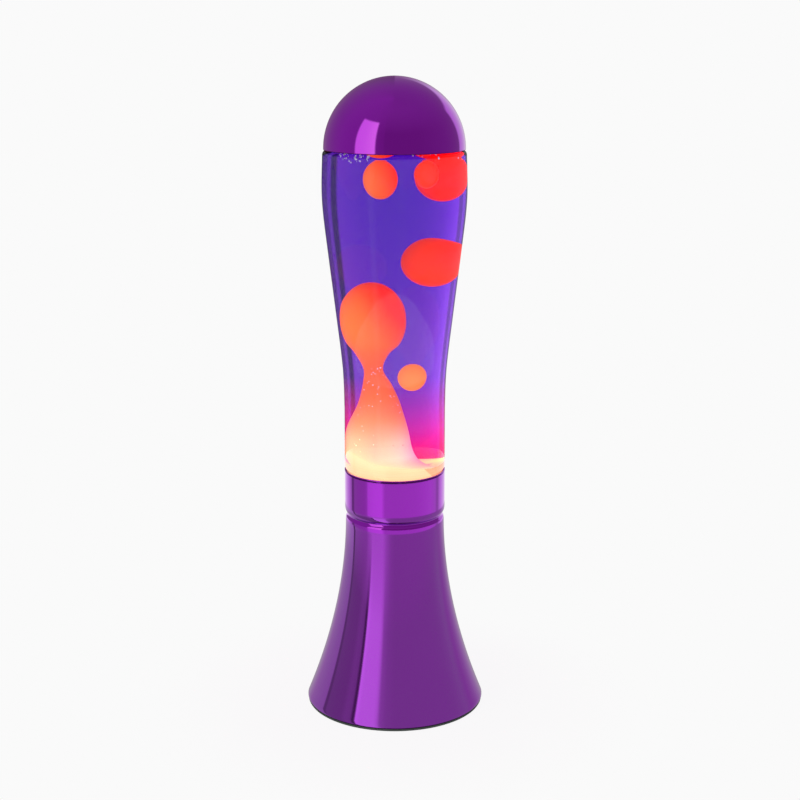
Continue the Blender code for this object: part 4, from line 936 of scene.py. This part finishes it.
# The room, by bearing: below the horizon, at mid height, overhead, its panels, and as seen through glass
ROOM_LOW = (
    (-180, 0.05), (-120, 0.06), (-75, 0.10), (-43, 0.10), (-41, 0.35), (-33, 0.35), (-31, 0.10), (5, 0.10),
    (8, 0.18), (14, 0.18), (17, 0.10), (110, 0.12), (125, 0.20), (180, 0.20))
ROOM_MIDDLE = (
    (-180, (0.20, 0.10, 0.20)), (-150, (0.30, 0.17, 0.30)), (-100, (0.38, 0.22, 0.39)),
    (-75, (0.37, 0.21, 0.38)), (-35, (0.34, 0.18, 0.33)), (-22, (0.30, 0.14, 0.29)),
    (-18, (0.30, 0.14, 0.29)), (-16, (0.265, 0.124, 0.255)), (40, (0.265, 0.13, 0.255)),
    (100, (0.30, 0.20, 0.29)), (180, (0.32, 0.2, 0.32)))
ROOM_HIGH = (
    (-180, (0.34, 0.25, 0.34)), (-90, (0.40, 0.26, 0.40)), (-45, (0.38, 0.25, 0.38)),
    (0, (0.345, 0.245, 0.34)), (90, (0.33, 0.24, 0.33)), (180, (0.34, 0.25, 0.34)))
RIGHT_PANEL = ((127, 0.0), (131, 1.0), (160, 1.0), (178, 0.0))
RIGHT_PANEL_LIGHT = (0.82, 0.75, 0.82)
SOFT_BOX = ((-66.5, 0.0), (-65.5, 1.0), (-31.5, 1.0), (-30.5, 0.0))
SOFT_BOX_LIGHT = ((-66, (1.25, 1.5, 1.1)), (-50, (1.3, 1.7, 1.12)), (-31, (1.5, 2.4, 1.2)))
THROUGH_GLASS = (
    (-180, BACKDROP), (-168, 1.0), (-158, 1.15), (-150, 1.45), (-142, 1.7), (-139, 0.9), (-133, 0.9),
    (-131, 1.8), (-122, 1.7), (-119, 0.7), (-98, 0.7), (-90, BACKDROP), (90, BACKDROP), (98, 0.7),
    (122, 0.7), (128, 0.5), (134, 0.5), (137, 0.85), (141, 0.85), (144, 0.20), (149, 0.22),
    (151.5, BACKDROP), (180, BACKDROP))
INSIDE_GLASS = (0.50, 0.50, 0.50)

CAMERA_PLACE = (0.0035, -1.040, 0.4576)
CAMERA_TILT = 13.4           # degrees down from level
CAMERA_LENS = 72.6
CAMERA_SENSOR = 36.0


def make_floor():
    start_clean()
    bpy.ops.mesh.primitive_circle_add(vertices=128, radius=FLOOR_RADIUS, fill_type="NGON", location=(0, 0, 0))
    floor = bpy.context.object
    floor.name = "pale_floor"
    finish, nodes, links, shader = new_finish("pale_floor_paint")
    tree = finish.node_tree
    shader.inputs["Base Color"].default_value = (FLOOR_PAINT, FLOOR_PAINT, FLOOR_PAINT, 1.0)
    shader.inputs["Roughness"].default_value = 0.9
    shader.inputs["Specular IOR Level"].default_value = 0.0
    shader.inputs["Emission Color"].default_value = (1, 1, 1, 1)
    shader.inputs["Emission Strength"].default_value = FLOOR_GLOW
    bright = nodes.new("ShaderNodeEmission")
    bright.inputs["Strength"].default_value = BACKDROP
    length = nodes.new("ShaderNodeVectorMath")
    length.operation = "LENGTH"
    links.new(nodes.new("ShaderNodeTexCoord").outputs["Object"], length.inputs[0])
    far = ramp(tree, length.outputs["Value"], [(0.08, 0.0), (0.18, 1.0)])
    plain = nodes.new("ShaderNodeMixShader")
    links.new(far, plain.inputs["Fac"])
    links.new(shader.outputs[0], plain.inputs[1])
    links.new(bright.outputs[0], plain.inputs[2])
    links.new(plain.outputs[0], nodes["Material Output"].inputs["Surface"])
    floor.data.materials.append(finish)
    floor.visible_glossy = False


def round_ramp(tree, bearing, stops):
    """A ramp by bearing, whose stops are in degrees from the front, positive to the right."""
    return ramp(tree, bearing, [((degrees + 180) / 360, light) for degrees, light in stops], False)


def bearing_of(tree, vector):
    apart = tree.nodes.new("ShaderNodeSeparateXYZ")
    tree.links.new(vector, apart.inputs[0])
    forward = math_node(tree, "MULTIPLY", apart.outputs["Y"], -1.0)
    turn = math_node(tree, "DIVIDE", math_node(tree, "ARCTAN2", apart.outputs["X"], forward), 2 * math.pi)
    return math_node(tree, "ADD", turn, 0.5), apart.outputs["Z"]


def tinted(stops, green):
    """Stops of grey light with more green in it where it is not seen at a grazing angle."""
    shares = [green if abs(bearing) < GRAZING else GRAZING_GREEN for bearing, _ in stops]
    return [(bearing, (light, light * share, light)) for (bearing, light), share in zip(stops, shares)]


def make_reflector():
    """A ring of light panels with dark joints round the base, seen only in its gloss."""
    start_clean()
    bpy.ops.mesh.primitive_cylinder_add(
        vertices=96, radius=RING_RADIUS, depth=RING_DEPTH, end_fill_type="NOTHING",
        location=(0, 0, RING_MIDDLE))
    ring = bpy.context.object
    ring.name = "reflector_ring"
    bpy.ops.object.transform_apply(location=True)
    for ray in ("camera", "diffuse", "transmission", "volume_scatter", "shadow"):
        setattr(ring, "visible_" + ray, False)
    finish, nodes, links, shader = new_finish("reflector_panels")
    tree = finish.node_tree
    bearing, level = bearing_of(tree, nodes.new("ShaderNodeTexCoord").outputs["Object"])
    drop = math_node(tree, "MAXIMUM", math_node(tree, "SUBTRACT", WIDENS_BELOW, level), 0.0)
    spread = math_node(tree, "ADD", math_node(tree, "MULTIPLY", drop, WIDENING), 1.0)
    bearing = product(tree, math_node(tree, "SUBTRACT", bearing, 0.5), spread)
    bearing = math_node(tree, "ADD", bearing, 0.5, True)
    skirt = round_ramp(tree, bearing, tinted(SKIRT_PANELS, SKIRT_GREEN))
    crest = round_ramp(tree, bearing, tinted(CREST_PANELS, CREST_GREEN))
    collar = round_ramp(tree, bearing, tinted(COLLAR_PANELS, COLLAR_GREEN))
    near_crest = rising(tree, level, CREST_START, CREST_SPAN)
    on_collar = rising(tree, level, COLLAR_START, COLLAR_SPAN)
    panels = nodes.new("ShaderNodeEmission")
    shown = blend_colours(tree, near_crest, skirt, crest)
    links.new(blend_colours(tree, on_collar, shown, collar), panels.inputs["Color"])
    links.new(panels.outputs[0], nodes["Material Output"].inputs["Surface"])
    nodes.remove(shader)
    ring.data.materials.append(finish)


def make_studio_light():
    """A plain white room for the eye, with panels for what glass lets through and for what metal mirrors."""
    world = bpy.data.worlds.new("studio")
    bpy.context.scene.world = world
    world.use_nodes = True
    tree = world.node_tree
    nodes, links = tree.nodes, tree.links
    nodes.clear()
    bearing, level = bearing_of(tree, nodes.new("ShaderNodeTexCoord").outputs["Generated"])
    low = round_ramp(tree, bearing, ROOM_LOW)
    calm = blend_colours(
        tree, math_node(tree, "MULTIPLY", math_node(tree, "SUBTRACT", level, 0.45), 2.2, True),
        round_ramp(tree, bearing, ROOM_MIDDLE), round_ramp(tree, bearing, ROOM_HIGH))
    below = math_node(tree, "MULTIPLY", math_node(tree, "SUBTRACT", 0.50, level), 14.0, True)
    panel = product(tree, round_ramp(tree, bearing, RIGHT_PANEL), below)
    calm = blend_colours(tree, panel, calm, RIGHT_PANEL_LIGHT)
    under_top = math_node(tree, "MULTIPLY", math_node(tree, "SUBTRACT", 0.70, level), 30.0, True)
    box = product(tree, round_ramp(tree, bearing, SOFT_BOX), under_top)
    calm = blend_colours(tree, box, calm, round_ramp(tree, bearing, SOFT_BOX_LIGHT))
    lifted = math_node(tree, "MULTIPLY", math_node(tree, "ADD", level, 0.12), 30.0, True)
    path = nodes.new("ShaderNodeLightPath")
    in_metal = math_node(tree, "SUBTRACT", 1.0, path.outputs["Is Singular Ray"])
    seen = blend_colours(tree, product(tree, lifted, in_metal), low, calm)
    mirrored = math_node(tree, "GREATER_THAN", path.outputs["Glossy Depth"], 0.5)
    through = blend_colours(tree, mirrored, round_ramp(tree, bearing, THROUGH_GLASS), INSIDE_GLASS)
    backgrounds = []
    for colour in (seen, through, None):
        background = nodes.new("ShaderNodeBackground")
        background.inputs["Color"].default_value = (BACKDROP, BACKDROP, BACKDROP, 1.0)
        if colour is not None:
            links.new(colour, background.inputs["Color"])
        backgrounds.append(background.outputs[0])
    shown = backgrounds[0]
    for ray, background in (("Is Transmission Ray", backgrounds[1]), ("Is Camera Ray", backgrounds[2])):
        choice = nodes.new("ShaderNodeMixShader")
        links.new(path.outputs[ray], choice.inputs["Fac"])
        links.new(shown, choice.inputs[1])
        links.new(background, choice.inputs[2])
        shown = choice.outputs[0]
    links.new(shown, nodes.new("ShaderNodeOutputWorld").inputs["Surface"])


def make_camera():
    bpy.ops.object.camera_add(location=CAMERA_PLACE, rotation=(math.radians(90 - CAMERA_TILT), 0, 0))
    camera = bpy.context.object
    camera.data.sensor_width = CAMERA_SENSOR
    camera.data.lens = CAMERA_LENS
    bpy.context.scene.camera = camera


make_floor()
make_reflector()
make_studio_light()
make_camera()
bpy.context.scene.view_settings.view_transform = "Standard"
bpy.context.scene.view_settings.look = "None"
